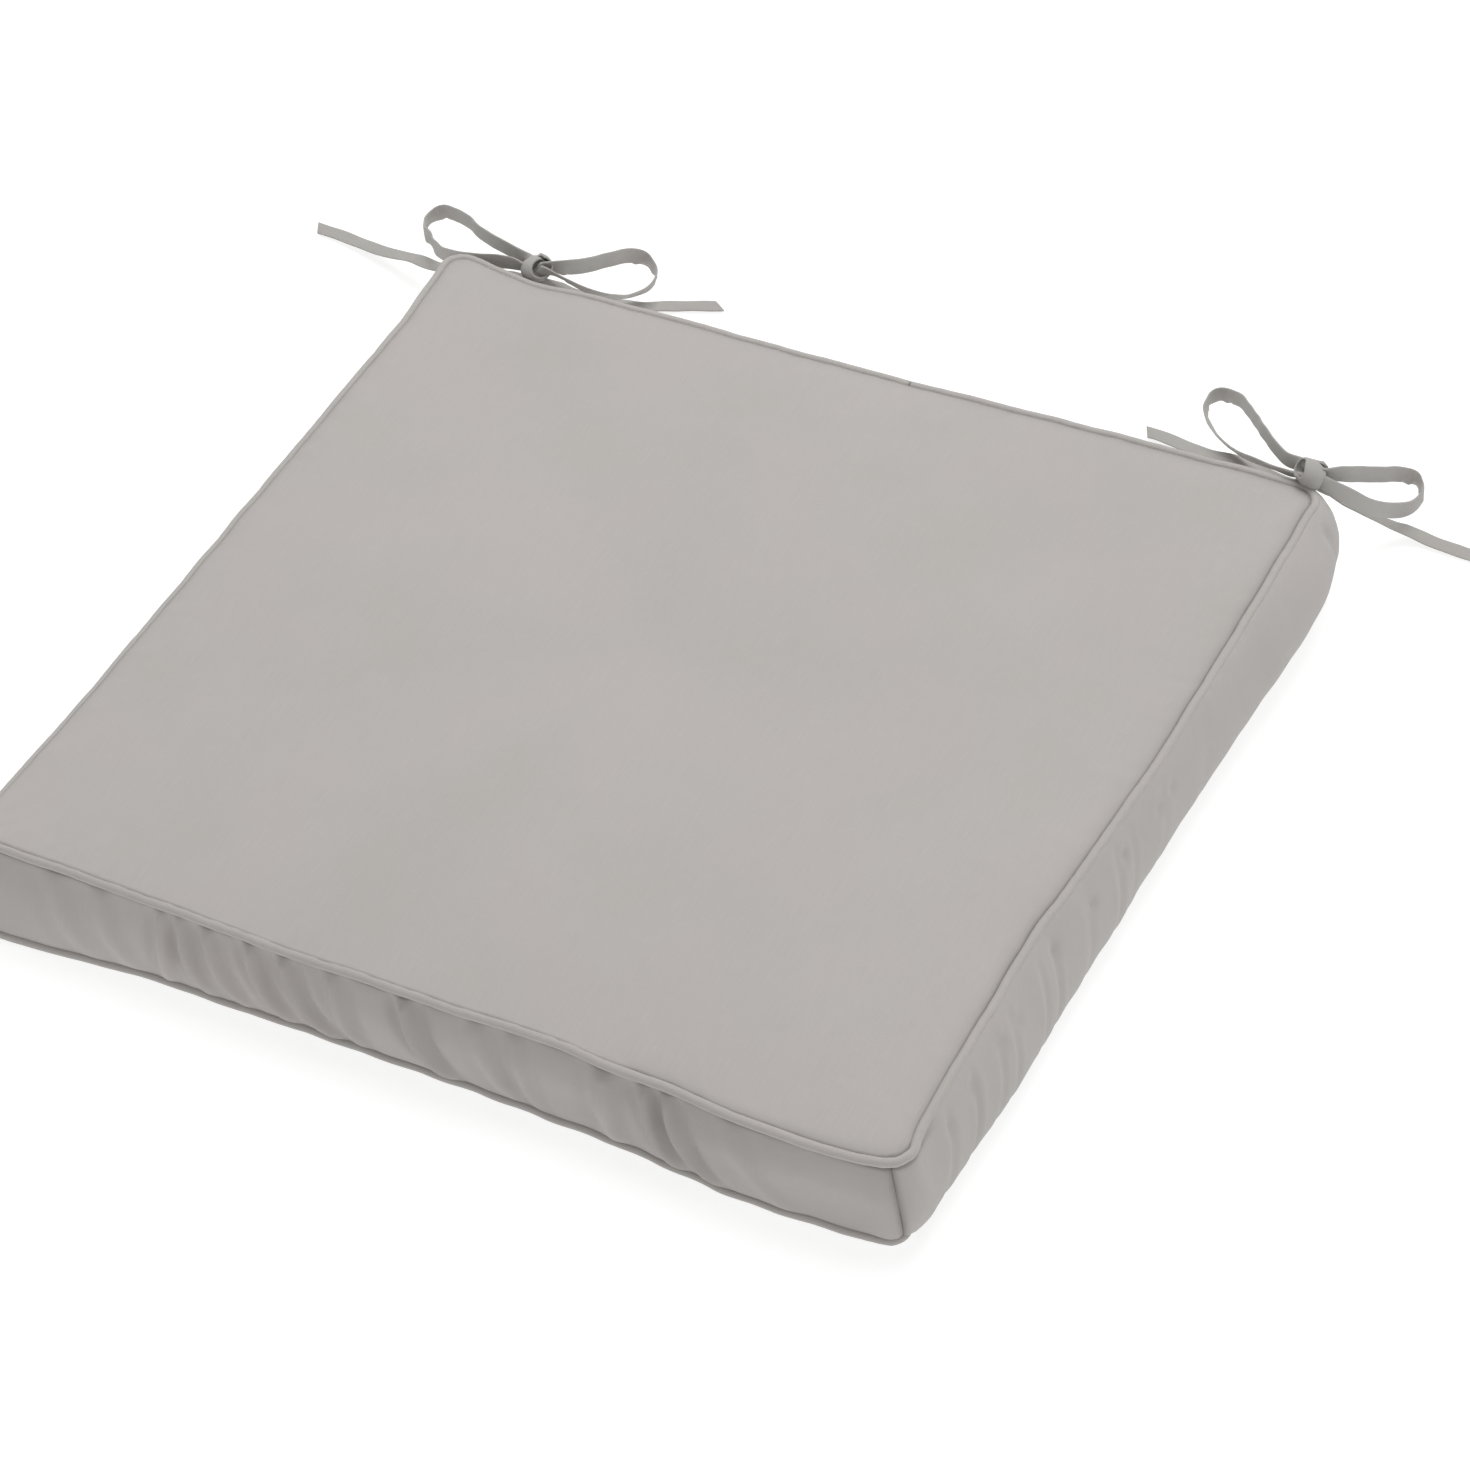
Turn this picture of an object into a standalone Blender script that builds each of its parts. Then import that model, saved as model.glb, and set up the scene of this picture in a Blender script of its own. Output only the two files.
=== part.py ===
"""A box-edge chair seat pad: a foam core in a piped fabric cover, with a zip along
the back and a tie strap bow at each back corner.

Metres, +Z up. The origin is on the surface that the pad lies on, under its middle.
X runs along the pad's width, the front is at -Y, and the zip and the bows are at +Y.
"""

import math

import bmesh
import bpy
from mathutils import Matrix, Vector

MM = 0.001
GAP = 0.0003  # left between neighbouring pieces

# The pad
PAD = 0.400  # width and depth, over the pipings
SEAM_HEIGHT = 0.0459  # from the bottom piping's line to the top one's
CORNER = 0.010  # plan radius of the pipings' line at a corner
CROWN = 0.005  # rise of the top from its edge to its middle
CROWN_POWER = 6  # how late the top levels out
CLOTH = 0.0008
PIPING = 0.0040  # diameter of the piping over its cover
PIPING_CORD = 0.0024  # diameter of the filler cord
PIPING_JOIN = 0.0008  # between the two ends of a piping's cover

# The zip, whose line runs along the middle of the back band
ZIP_OPENING = 0.0072  # between the folded edges of the two back strips
ZIP_LENGTH = 0.330
TAPE_WIDTH = 0.0115
TAPE = 0.0006
COIL_WIDTH = 0.0022
COIL = 0.0016
COIL_PART = 0.0012  # between the two rows, so that the slider's wedge passes
STOP_LENGTH = 0.0016
SLIDER_LENGTH = 0.0100
SLIDER_WIDTH = 0.0060
SLIDER_PLATE = 0.0007
SLIDER_AT = -0.155  # the slider's middle when the zip is shut
WEDGE = (0.0015, 0.0006)  # length and thickness of the post between the plates
BRIDGE = (0.0060, 0.0020)  # length and width
BRIDGE_LEG = 0.0008
BRIDGE_ROOM = 0.0014  # under the bridge, for the pull's crossbar
PULL = (0.0165, 0.0052, 0.0008)  # length from the hinge, width, thickness
PULL_WINDOW = (0.0046, 0.0028)

# The tie straps
TIE_WIDTH = 0.0070
TIE = 0.0010
KNOT_SIZE = (0.0055, 0.0045, 0.0045)

ARC_STEPS = 5
TUBE_SIDES = 8
CURVE_STEPS = 3

# Heights and faces that follow from the above
SEAM_LINE = PAD / 2 - PIPING / 2
BOTTOM_SEAM = PIPING / 2 + GAP
TOP_SEAM = BOTTOM_SEAM + SEAM_HEIGHT
PANEL_HALF = SEAM_LINE - PIPING / 2 - GAP
BAND_HALF = SEAM_LINE - 0.0005
BAND_RADIUS = CORNER - 0.0005
BAND_BASE = BOTTOM_SEAM + PIPING / 2 + GAP
BAND_TOP = TOP_SEAM - PIPING / 2 - GAP
ARC_CENTRE = SEAM_LINE - CORNER
BACK_STRIP_HALF = 0.170  # where the back strips meet the side bands
ZIP_Z = (BAND_BASE + BAND_TOP) / 2
FOAM_HALF = 0.1960
FOAM_BACK = 0.1925  # clear of the slider's inner plate
COIL_FACE = BAND_HALF - 0.0007
COIL_BACK = COIL_FACE - COIL
TAPE_FACE = COIL_BACK - GAP
INNER_PLATE_FACE = TAPE_FACE - TAPE - GAP
OUTER_PLATE_BACK = COIL_FACE + GAP
OUTER_PLATE_FACE = OUTER_PLATE_BACK + SLIDER_PLATE
PULL_AXIS_Y = OUTER_PLATE_FACE + BRIDGE_ROOM / 2

# Each strap stretch: x, y and z in millimetres, and its lean in degrees, from 0 where
# the strap stands on edge to 90 where it lies flat.
ROUTES = {
    "left_tie_root": [
        (-163, 198.7, 43.4, 90), (-163, 200.6, 42.6, 90), (-163, 202.4, 43.2, 90),
    ],
    "left_tie_outer_loop": [
        (-170, 209.5, 50, 0), (-178, 214, 48, 0), (-190, 222.5, 42.5, 0),
        (-205, 235, 34, 0), (-222, 252, 24, 0), (-237.5, 265.5, 15, 0),
        (-249, 272, 9, 0), (-254, 267, 6, 0), (-250.5, 258, 8.5, 0),
        (-243.5, 248, 14, 0), (-235.5, 238.5, 21, 0), (-218.5, 219.5, 31, 0),
        (-203, 211.5, 38.5, 0), (-190, 207.5, 44, 0), (-178, 205.3, 48.5, 0),
        (-170, 205, 50, 0),
    ],
    "left_tie_inner_loop": [
        (-156.5, 209.5, 50, 0), (-152.5, 213, 48, 0), (-151, 222, 42.5, 0),
        (-151.5, 236, 34, 0), (-152, 254, 24, 0), (-151.5, 270, 15, 0),
        (-148, 278, 8.5, 0), (-141, 275, 6, 0), (-137, 261, 8.5, 0),
        (-137, 246, 14.5, 0), (-138, 230.5, 23.5, 0), (-139.5, 219, 33, 0),
        (-143.5, 211, 41, 0), (-149, 206.5, 47, 0), (-156, 205, 50, 0),
    ],
    "left_tie_outer_tail": [
        (-169.5, 205, 42.8, 90), (-180, 209, 38, 90), (-199.4, 214.5, 29, 90),
        (-222, 223.4, 19.5, 90), (-246.1, 234, 10.5, 90), (-266, 240.2, 4.5, 90),
        (-285.4, 245.5, 1.8, 90), (-293.9, 246.7, 1.2, 90), (-301.8, 247.3, 1.2, 90),
    ],
    "left_tie_inner_tail": [
        (-157.5, 206.5, 42.8, 90), (-151, 213, 37, 90), (-146.5, 223, 27, 90),
        (-143.5, 235, 17, 90), (-140, 245, 9, 90), (-134.5, 252, 4, 90),
        (-124.5, 261, 1.4, 90), (-115, 265.2, 1.2, 90), (-105.6, 269.3, 1.2, 90),
    ],
    "right_tie_root": [
        (192.9, 197.3, 43.4, 90), (193.9, 199.8, 42.8, 90), (195, 202.2, 44.2, 90),
    ],
    "right_tie_inner_loop": [
        (190, 210.5, 53.5, 0), (184, 214, 51, 0), (174, 226, 45, 0),
        (162, 245, 35, 0), (150, 265, 24, 0), (138, 283, 15, 0),
        (127, 293, 8.5, 0), (120, 292, 6, 0), (122.5, 279, 8.5, 0),
        (132, 262, 15, 0), (144, 245, 24, 0), (156, 230, 33.5, 0),
        (168, 218, 42.5, 0), (178.5, 210, 48.5, 0), (189, 206.5, 51.5, 0),
    ],
    "right_tie_outer_loop": [
        (203, 209.8, 53.5, 0), (206.5, 216, 50, 0), (209, 225, 43.5, 0),
        (210.5, 238, 34, 0), (212.5, 252, 24, 0), (215.5, 265, 15, 0),
        (220, 273, 8.5, 0), (225.5, 269, 6, 0), (226, 256, 8.5, 0),
        (223.5, 243, 15, 0), (220.5, 230.5, 24, 0), (217, 219.5, 33.5, 0),
        (212, 212, 42.5, 0), (207, 207, 48.5, 0), (203.5, 205.3, 51.5, 0),
    ],
    "right_tie_inner_tail": [
        (189.5, 207, 46.3, 90), (182, 212, 41.5, 90), (169.8, 222, 34, 90),
        (155, 233.5, 26.5, 90), (140.7, 243.2, 17, 90), (126.4, 253.3, 8.5, 90),
        (112.7, 261.2, 3, 90), (106.3, 263.7, 1.5, 90), (100.8, 264.3, 1.2, 90),
    ],
    "right_tie_outer_tail": [
        (200.5, 207, 46.6, 90), (202.5, 213.5, 39, 90), (207.1, 223.5, 27.5, 90),
        (214.2, 233, 17, 90), (222.1, 241, 8, 90), (231.4, 244.4, 3.5, 90),
        (241.7, 244.4, 1.6, 90), (255.4, 243.9, 1.2, 90), (266, 243.6, 1.2, 90),
    ],
}
KNOTS = {
    "left_tie_knot": (-0.1630, 0.2060, 0.0490),
    "right_tie_knot": (0.1965, 0.2070, 0.0535),
}


def clear_scene():
    for obj in list(bpy.data.objects):
        bpy.data.objects.remove(obj, do_unlink=True)


def finish_material(name, colour, roughness, metallic=0.0):
    """A Principled BSDF material of one colour, given as linear red, green and blue."""
    material = bpy.data.materials.new(name)
    material.use_nodes = True
    shader = material.node_tree.nodes["Principled BSDF"]
    shader.inputs["Base Color"].default_value = (*colour, 1.0)
    shader.inputs["Roughness"].default_value = roughness
    shader.inputs["Metallic"].default_value = metallic
    return material


def place(name, mesh, material, at=(0, 0, 0), smooth=False):
    """A new object that holds the mesh, with its origin at the given point."""
    mesh.materials.append(material)
    if smooth:
        mesh.shade_smooth()
        mesh.set_sharp_from_angle(angle=math.radians(40))
    obj = bpy.data.objects.new(name, mesh)
    obj.location = at
    bpy.context.scene.collection.objects.link(obj)
    return obj


def mesh_from(name, bm):
    bmesh.ops.recalc_face_normals(bm, faces=bm.faces)
    mesh = bpy.data.meshes.new(name)
    bm.to_mesh(mesh)
    bm.free()
    return mesh


def skin_between(bm, ring, following):
    """Faces between two rings of as many vertices."""
    for i, vertex in enumerate(ring):
        after = (i + 1) % len(ring)
        bm.faces.new((vertex, ring[after], following[after], following[i]))


def loft(name, rings, material, closed=False):
    """A solid through the rings of points, in order: closed on itself, or capped."""
    bm = bmesh.new()
    rows = [[bm.verts.new(point) for point in ring] for ring in rings]
    for row, following in zip(rows, rows[1:]):
        skin_between(bm, row, following)
    if closed:
        skin_between(bm, rows[-1], rows[0])
    else:
        bm.faces.new(rows[0])
        bm.faces.new(rows[-1])
    return place(name, mesh_from(name, bm), material, smooth=True)


def box(name, low, high, material, at=(0, 0, 0)):
    """A box between two corners, which are counted from the object's origin."""
    low, high = Vector(low), Vector(high)
    bm = bmesh.new()
    bmesh.ops.create_cube(bm, size=1.0)
    bmesh.ops.scale(bm, vec=high - low, verts=bm.verts)
    bmesh.ops.translate(bm, vec=(low + high) / 2, verts=bm.verts)
    return place(name, mesh_from(name, bm), material, at)


def combine(target, helper, operation):
    """Joins or cuts the helper into the target, and hides the helper."""
    helper.hide_render = True
    helper.display_type = "WIRE"
    modifier = target.modifiers.new(operation.title(), "BOOLEAN")
    modifier.operation = operation
    modifier.solver = "EXACT"
    modifier.object = helper


def turn(sign_x, sign_y, radius, start, end, steps=ARC_STEPS):
    """(point, outward direction) along one corner's arc, between two angles in degrees."""
    centre = Vector((sign_x * ARC_CENTRE, sign_y * ARC_CENTRE, 0))
    stations = []
    for step in range(steps + 1):
        angle = math.radians(start + (end - start) * step / steps)
        outward = Vector((math.cos(angle), math.sin(angle), 0))
        stations.append((centre + radius * outward, outward))
    return stations


def rounded_square(radius):
    """Stations round the pad, anticlockwise from the back right corner."""
    return (
        turn(1, 1, radius, 0, 90)
        + turn(-1, 1, radius, 90, 180)
        + turn(-1, -1, radius, 180, 270)
        + turn(1, -1, radius, 270, 360)
    )


def circle_rings(stations, radius, height):
    """A circle of points round each station, across the line they follow."""
    rings = []
    for point, outward in stations:
        ring = []
        for side in range(TUBE_SIDES):
            angle = 2 * math.pi * (side + 0.5) / TUBE_SIDES
            reach = radius * math.cos(angle) * outward
            ring.append(point + reach + Vector((0, 0, height + radius * math.sin(angle))))
        rings.append(ring)
    return rings


def crown_height(half):
    """Rise of the top over its edge, at that half-width from the middle."""
    return CROWN * (1 - (half / PANEL_HALF) ** CROWN_POWER)


def layer_ring(half, back, height):
    """Corners of one level of a rounded square layer, whose back edge may lie nearer."""
    radius = min(CORNER, half * 0.4)
    inset = half - radius
    ring = []
    for sign_x, sign_y, start in ((1, 1, 0), (-1, 1, 90), (-1, -1, 180), (1, -1, 270)):
        for step in range(ARC_STEPS):
            angle = math.radians(start + 90 * step / (ARC_STEPS - 1))
            x = sign_x * inset + radius * math.cos(angle)
            y = sign_y * inset + radius * math.sin(angle)
            ring.append(Vector((x, min(y, back), height)))
    return ring


def crowned_rings(half, back, base, edge_height):
    """Rings from the underside's edge, up the side and over the crowned top."""
    rings = [layer_ring(half, back, base), layer_ring(half, back, edge_height)]
    for share in (0.94, 0.86, 0.76, 0.62, 0.45, 0.25, 0.08):
        inner = half * share
        rings.append(layer_ring(inner, back, edge_height + crown_height(inner)))
    return rings


def make_foam(material):
    rings = crowned_rings(FOAM_HALF - 0.0005, FOAM_BACK, CLOTH + GAP, TOP_SEAM - 0.0012)
    loft("foam_core", rings, material)


def make_top_panel(material):
    """A crowned sheet of one thickness, from its middle out and back over the top."""
    under = []
    over = []
    for share in (0.08, 0.25, 0.45, 0.62, 0.76, 0.86, 0.94, 1.0):
        half = PANEL_HALF * share
        height = TOP_SEAM - CLOTH / 2 + crown_height(half)
        under.append(layer_ring(half, half, height))
        over.append(layer_ring(half, half, height + CLOTH))
    loft("top_panel", under + over[::-1], material)


def make_bottom_panel(material):
    rings = [layer_ring(PANEL_HALF, PAD, height) for height in (0.0, CLOTH)]
    loft("bottom_panel", rings, material)


def band_rings(turns, base, top):
    """Upright rings through a band's wall, along its corner turns and straights."""
    outer = []
    inner = []
    for sign_x, sign_y, start, end in turns:
        outer += turn(sign_x, sign_y, BAND_RADIUS, start, end)
        inner += turn(sign_x, sign_y, BAND_RADIUS - CLOTH, start, end)
    rings = []
    for (out, _), (within, _) in zip(outer, inner):
        ring = []
        for point, height in ((out, base), (within, base), (within, top), (out, top)):
            ring.append(Vector((point.x, point.y, height)))
        rings.append(ring)
    return rings


def back_ring(x, base, top):
    """The upright ring through a wall of the back, at that x."""
    corners = ((BAND_HALF, base), (BAND_HALF - CLOTH, base))
    corners += ((BAND_HALF - CLOTH, top), (BAND_HALF, top))
    return [Vector((x, y, z)) for y, z in corners]


def make_bands(material):
    """The front strip, two side strips that turn the back corners, and two back strips."""
    trim = 1.0  # degrees left open at each front corner's seam
    front = [(-1, -1, 225 + trim, 270), (1, -1, 270, 315 - trim)]
    loft("front_band", band_rings(front, BAND_BASE, BAND_TOP), material)
    sides = {
        "right_band": ([(1, -1, 315 + trim, 360), (1, 1, 0, 90)], 1),
        "left_band": ([(-1, -1, 225 - trim, 180), (-1, 1, 180, 90)], -1),
    }
    for name, (turns, side) in sides.items():
        rings = band_rings(turns, BAND_BASE, BAND_TOP)
        rings.append(back_ring(side * (BACK_STRIP_HALF + GAP), BAND_BASE, BAND_TOP))
        loft(name, rings, material)
    levels = {
        "back_band_lower": (BAND_BASE, ZIP_Z - ZIP_OPENING / 2),
        "back_band_upper": (ZIP_Z + ZIP_OPENING / 2, BAND_TOP),
    }
    for name, (base, top) in levels.items():
        rings = [back_ring(side * BACK_STRIP_HALF, base, top) for side in (-1, 1)]
        loft(name, rings, material)


def make_piping(name, height, cover, filler):
    """A filler cord all round, in a cloth tube whose two ends meet at the back."""
    cord = circle_rings(rounded_square(CORNER), PIPING_CORD / 2, height)
    loft(name + "_piping_cord", cord, filler, closed=True)
    outward = Vector((0, 1, 0))
    start = (Vector((-PIPING_JOIN / 2, SEAM_LINE, 0)), outward)
    end = (Vector((PIPING_JOIN / 2, SEAM_LINE, 0)), outward)
    square = rounded_square(CORNER)
    arc_points = ARC_STEPS + 1
    stations = [start] + square[arc_points:] + square[:arc_points] + [end]
    bm = bmesh.new()
    walls = []
    for radius in (PIPING / 2, PIPING_CORD / 2 + GAP):
        rings = circle_rings(stations, radius, height)
        rows = [[bm.verts.new(point) for point in ring] for ring in rings]
        for row, following in zip(rows, rows[1:]):
            skin_between(bm, row, following)
        walls.append(rows)
    outer, inner = walls
    skin_between(bm, outer[0], inner[0])
    skin_between(bm, outer[-1], inner[-1])
    name += "_piping_cover"
    place(name, mesh_from(name, bm), cover, smooth=True)


def make_zip(tape_cloth, nylon, metal):
    """Two tapes, two coils and three stops, along the middle of the back."""
    half = ZIP_LENGTH / 2
    coil_end = half - 2 * STOP_LENGTH
    part = COIL_PART / 2
    for name, side in (("upper", 1), ("lower", -1)):
        edges = sorted((ZIP_Z + side * part, ZIP_Z + side * TAPE_WIDTH))
        low = (-half, TAPE_FACE - TAPE, edges[0])
        box("zip_tape_" + name, low, (half, TAPE_FACE, edges[1]), tape_cloth)
        edges = sorted((ZIP_Z + side * part, ZIP_Z + side * (part + COIL_WIDTH)))
        low = (-coil_end, COIL_BACK, edges[0])
        box("zip_coil_" + name, low, (coil_end, COIL_FACE, edges[1]), nylon)
        low = (-coil_end - GAP - STOP_LENGTH, COIL_BACK, edges[0])
        high = (-coil_end - GAP, COIL_FACE, edges[1])
        box("zip_top_stop_" + name, low, high, metal)
    reach = part + COIL_WIDTH
    low = (coil_end + GAP, COIL_BACK, ZIP_Z - reach)
    high = (coil_end + GAP + STOP_LENGTH, COIL_FACE, ZIP_Z + reach)
    box("zip_bottom_stop", low, high, metal)


def make_slider(metal):
    """The slider's two plates, the wedge between them and the bridge over the pull.
    Its origin is on the pull's hinge axis, which is upright."""
    at = (SLIDER_AT, PULL_AXIS_Y, ZIP_Z)
    length, width = SLIDER_LENGTH / 2, SLIDER_WIDTH / 2
    face = OUTER_PLATE_FACE - PULL_AXIS_Y
    inner_face = INNER_PLATE_FACE - PULL_AXIS_Y
    low = (-length, face - SLIDER_PLATE, -width)
    slider = box("zip_slider", low, (length, face, width), metal, at)
    low = (-length, inner_face - SLIDER_PLATE, -width)
    plate = box("slider_inner_plate", low, (length, inner_face, width), metal, at)
    combine(slider, plate, "UNION")
    sink = SLIDER_PLATE / 2
    low = (-length + sink, inner_face - sink, -WEDGE[1] / 2)
    high = (-length + sink + WEDGE[0], face - sink, WEDGE[1] / 2)
    combine(slider, box("slider_wedge", low, high, metal, at), "UNION")
    bridge_length, bridge_width = BRIDGE[0] / 2, BRIDGE[1] / 2
    top = face + BRIDGE_ROOM + SLIDER_PLATE
    low = (-bridge_length, face - sink, -bridge_width)
    bridge = box("slider_bridge", low, (bridge_length, top, bridge_width), metal, at)
    inside = bridge_length - BRIDGE_LEG
    low = (-inside, face - SLIDER_PLATE, -width)
    hole = box("slider_bridge_hole", low, (inside, face + BRIDGE_ROOM, width), metal, at)
    combine(bridge, hole, "DIFFERENCE")
    combine(slider, bridge, "UNION")
    return slider


def make_pull(slider, metal):
    """A flat tab with a window, whose crossbar lies under the slider's bridge."""
    length, width, thickness = PULL
    bar = thickness / 2
    pull = box("zip_pull", (-bar, -bar, -width / 2), (length, bar, width / 2), metal)
    window_length, window_width = PULL_WINDOW
    low = (bar, -thickness, -window_width / 2)
    high = (bar + window_length, thickness, window_width / 2)
    window = box("pull_window", low, high, metal)
    combine(pull, window, "DIFFERENCE")
    for obj in (pull, window):
        obj.parent = slider


def smooth_route(route):
    """Points and leans on the Catmull-Rom curve through a route's own points."""
    knots = [(Vector(row[:3]) * MM, float(row[3])) for row in route]
    knots = [knots[0]] + knots + [knots[-1]]
    stations = []
    for i in range(1, len(knots) - 2):
        (a, _), (b, lean), (c, following), (d, _) = knots[i - 1 : i + 3]
        for step in range(CURVE_STEPS):
            t = step / CURVE_STEPS
            bend = 2 * a - 5 * b + 4 * c - d
            twist = 3 * b - a - 3 * c + d
            point = b + 0.5 * ((c - a) * t + bend * t * t + twist * t * t * t)
            stations.append((point, lean + (following - lean) * t))
    stations.append(knots[-2])
    return stations


def make_strap(name, route, cloth):
    """A flat strap along its route, its width leaning from upright as the route says."""
    stations = smooth_route(route)
    points = [point for point, _ in stations]
    ends = [points[0]] + points + [points[-1]]
    rings = []
    for i, (point, lean) in enumerate(stations):
        along = (ends[i + 2] - ends[i]).normalized()
        upright = Vector((0, 0, 1)) - along.z * along
        across = upright.normalized()
        across.rotate(Matrix.Rotation(math.radians(lean), 3, along))
        through = along.cross(across) * TIE / 2
        across = across * TIE_WIDTH / 2
        corners = (across + through, through - across, -across - through, across - through)
        rings.append([point + corner for corner in corners])
    loft(name, rings, cloth)


def make_knot(name, at, cloth):
    bm = bmesh.new()
    bmesh.ops.create_uvsphere(bm, u_segments=12, v_segments=8, radius=1.0)
    bmesh.ops.scale(bm, vec=KNOT_SIZE, verts=bm.verts)
    place(name, mesh_from(name, bm), cloth, at, smooth=True)


def main():
    clear_scene()
    cover = finish_material("cover_cloth", (0.470, 0.445, 0.420), 0.90)
    piping = finish_material("piping_cloth", (0.430, 0.410, 0.385), 0.90)
    straps = finish_material("tie_cloth", (0.400, 0.385, 0.360), 0.90)
    foam = finish_material("foam", (0.85, 0.80, 0.62), 0.95)
    filler = finish_material("filler_cord", (0.80, 0.79, 0.75), 0.90)
    nylon = finish_material("coil_nylon", (0.36, 0.34, 0.32), 0.45)
    metal = finish_material("slider_metal", (0.42, 0.40, 0.38), 0.40, 0.6)
    make_foam(foam)
    make_top_panel(cover)
    make_bottom_panel(cover)
    make_bands(cover)
    make_piping("top", TOP_SEAM, piping, filler)
    make_piping("bottom", BOTTOM_SEAM, piping, filler)
    make_zip(straps, nylon, metal)
    make_pull(make_slider(metal), metal)
    for name, route in ROUTES.items():
        make_strap(name, route, straps)
    for name, at in KNOTS.items():
        make_knot(name, at, straps)


main()
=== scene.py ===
"""Looks of a square seat pad: a piped, zipped cover over foam, with a tied strap at each back corner."""

import math

import bmesh
import bpy
import numpy as np
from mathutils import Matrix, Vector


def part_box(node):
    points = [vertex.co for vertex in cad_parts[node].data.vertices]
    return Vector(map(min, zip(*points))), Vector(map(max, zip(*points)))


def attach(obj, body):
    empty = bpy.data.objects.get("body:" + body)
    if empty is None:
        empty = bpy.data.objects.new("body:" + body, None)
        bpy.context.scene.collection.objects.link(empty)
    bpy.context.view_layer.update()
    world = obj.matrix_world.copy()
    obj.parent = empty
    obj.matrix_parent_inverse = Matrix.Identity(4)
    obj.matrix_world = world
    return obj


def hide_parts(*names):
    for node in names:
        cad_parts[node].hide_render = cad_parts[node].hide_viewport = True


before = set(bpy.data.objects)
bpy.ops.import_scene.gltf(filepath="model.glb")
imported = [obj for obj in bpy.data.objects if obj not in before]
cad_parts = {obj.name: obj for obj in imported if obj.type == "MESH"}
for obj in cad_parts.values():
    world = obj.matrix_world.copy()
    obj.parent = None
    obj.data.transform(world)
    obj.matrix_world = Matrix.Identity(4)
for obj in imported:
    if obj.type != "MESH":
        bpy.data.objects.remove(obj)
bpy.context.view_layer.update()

MM = 0.001
TAU = 2 * math.pi

# ---- Sizes, read from the frame ----


def middle_of(node):
    low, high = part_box(node)
    return np.array((low + high) / 2)


def size_of(node):
    low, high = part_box(node)
    return np.array(high - low)


PIPING_RADIUS = float(size_of("top_piping_cover")[2]) / 2
SEAM_LINE = float(size_of("top_piping_cover")[0]) / 2 - PIPING_RADIUS
CORNER = 5 * MM  # plan radius of the seam line at a corner
TOP_SEAM = float(middle_of("top_piping_cover")[2])
BOTTOM_SEAM = float(middle_of("bottom_piping_cover")[2])
CROWN_TOP = float(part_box("top_panel")[1].z)
STRIP_END = float(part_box("back_band_upper")[1].x)  # where the back strips meet the side bands
ZIP_FOLD_UPPER = float(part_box("back_band_upper")[0].z)
ZIP_FOLD_LOWER = float(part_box("back_band_lower")[1].z)
BACK_FACE = float(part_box("back_band_upper")[1].y)
CLOTH = 0.8 * MM
STRAIGHT = 2 * (SEAM_LINE - CORNER)
SIDE = STRAIGHT + CORNER * TAU / 4  # one side of the seam line, from mid corner to mid corner
ROUND = 4 * SIDE
WANDER_BLUR = 4.5 * MM

# ---- The seam line's wander: (place along the side, outward offset), in mm ----
# Places run along +Y on the right and left sides and along +X on the front and back ones.

TOP_WANDER = {
    "right": [
        (-188, 2.6), (-149, 1.4), (-80, 0.4), (-35, 3.3), (31, 6.2), (100, 6.2), (160, 5.8), (190, 5.4)],
    "back": [
        (188, 5.6), (120, 4.4), (60, 2.8), (20, 1.0), (-80, 0.2), (-130, 0.2), (-160, -3.0), (-178, 0.5),
        (-190, 4.0)],
    "left": [(188, 2.5), (150, -0.6), (0, -2.2), (-120, -3.4), (-180, -2.0)],
    "front": [
        (-180, -0.8), (-120, 0.2), (-60, 2.6), (-20, 2.6), (20, 3.0), (50, 2.2), (68, 2.8), (82, 4.6),
        (109, 5.4), (137, 8.8), (164, 9.2), (188, 8.2)],
}
BOTTOM_WANDER = {
    "right": [(-192, -0.5), (-182, -1.8), (-168, 0.4), (-120, 2.0), (0, 2.5), (120, 4.0), (185, 4.0)],
    "back": [(180, 3.0), (0, 1.0), (-180, 1.5)],
    "left": [(180, 2.0), (60, 2.8), (-60, 1.6), (-180, 1.5)],
    "front": [
        (-182, 2.8), (-119, -2.3), (-30, -2.4), (15, -2.2), (40, -1.5), (77, -0.3), (110, 2.6), (135, 5.1),
        (161, 5.0), (186, 3.8), (196, 3.0)],
}
# How full each band is.
BAND_SWELL = {
    "right": [
        (-196, 8.4), (-186, 10.4), (-168, 9.1), (-154, 9.2), (-140, 9.6), (-120, 10.2), (0, 9.9), (90, 11.3),
        (112, 12.5), (150, 15.0), (170, 15.4), (186, 13.6)],
    "back": [
        (194, 9.5), (186, 5.5), (174, 1.6), (150, 1.0), (-150, 1.0), (-174, 2.0), (-186, 6.0), (-194, 9.0)],
    "left": [(185, 9.0), (120, 6.5), (0, 6.0), (-120, 6.0), (-188, 3.0)],
    "front": [(-188, 3.0), (-100, 3.4), (0, 3.6), (100, 3.6), (150, 3.6), (188, 2.2)],
}

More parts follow.
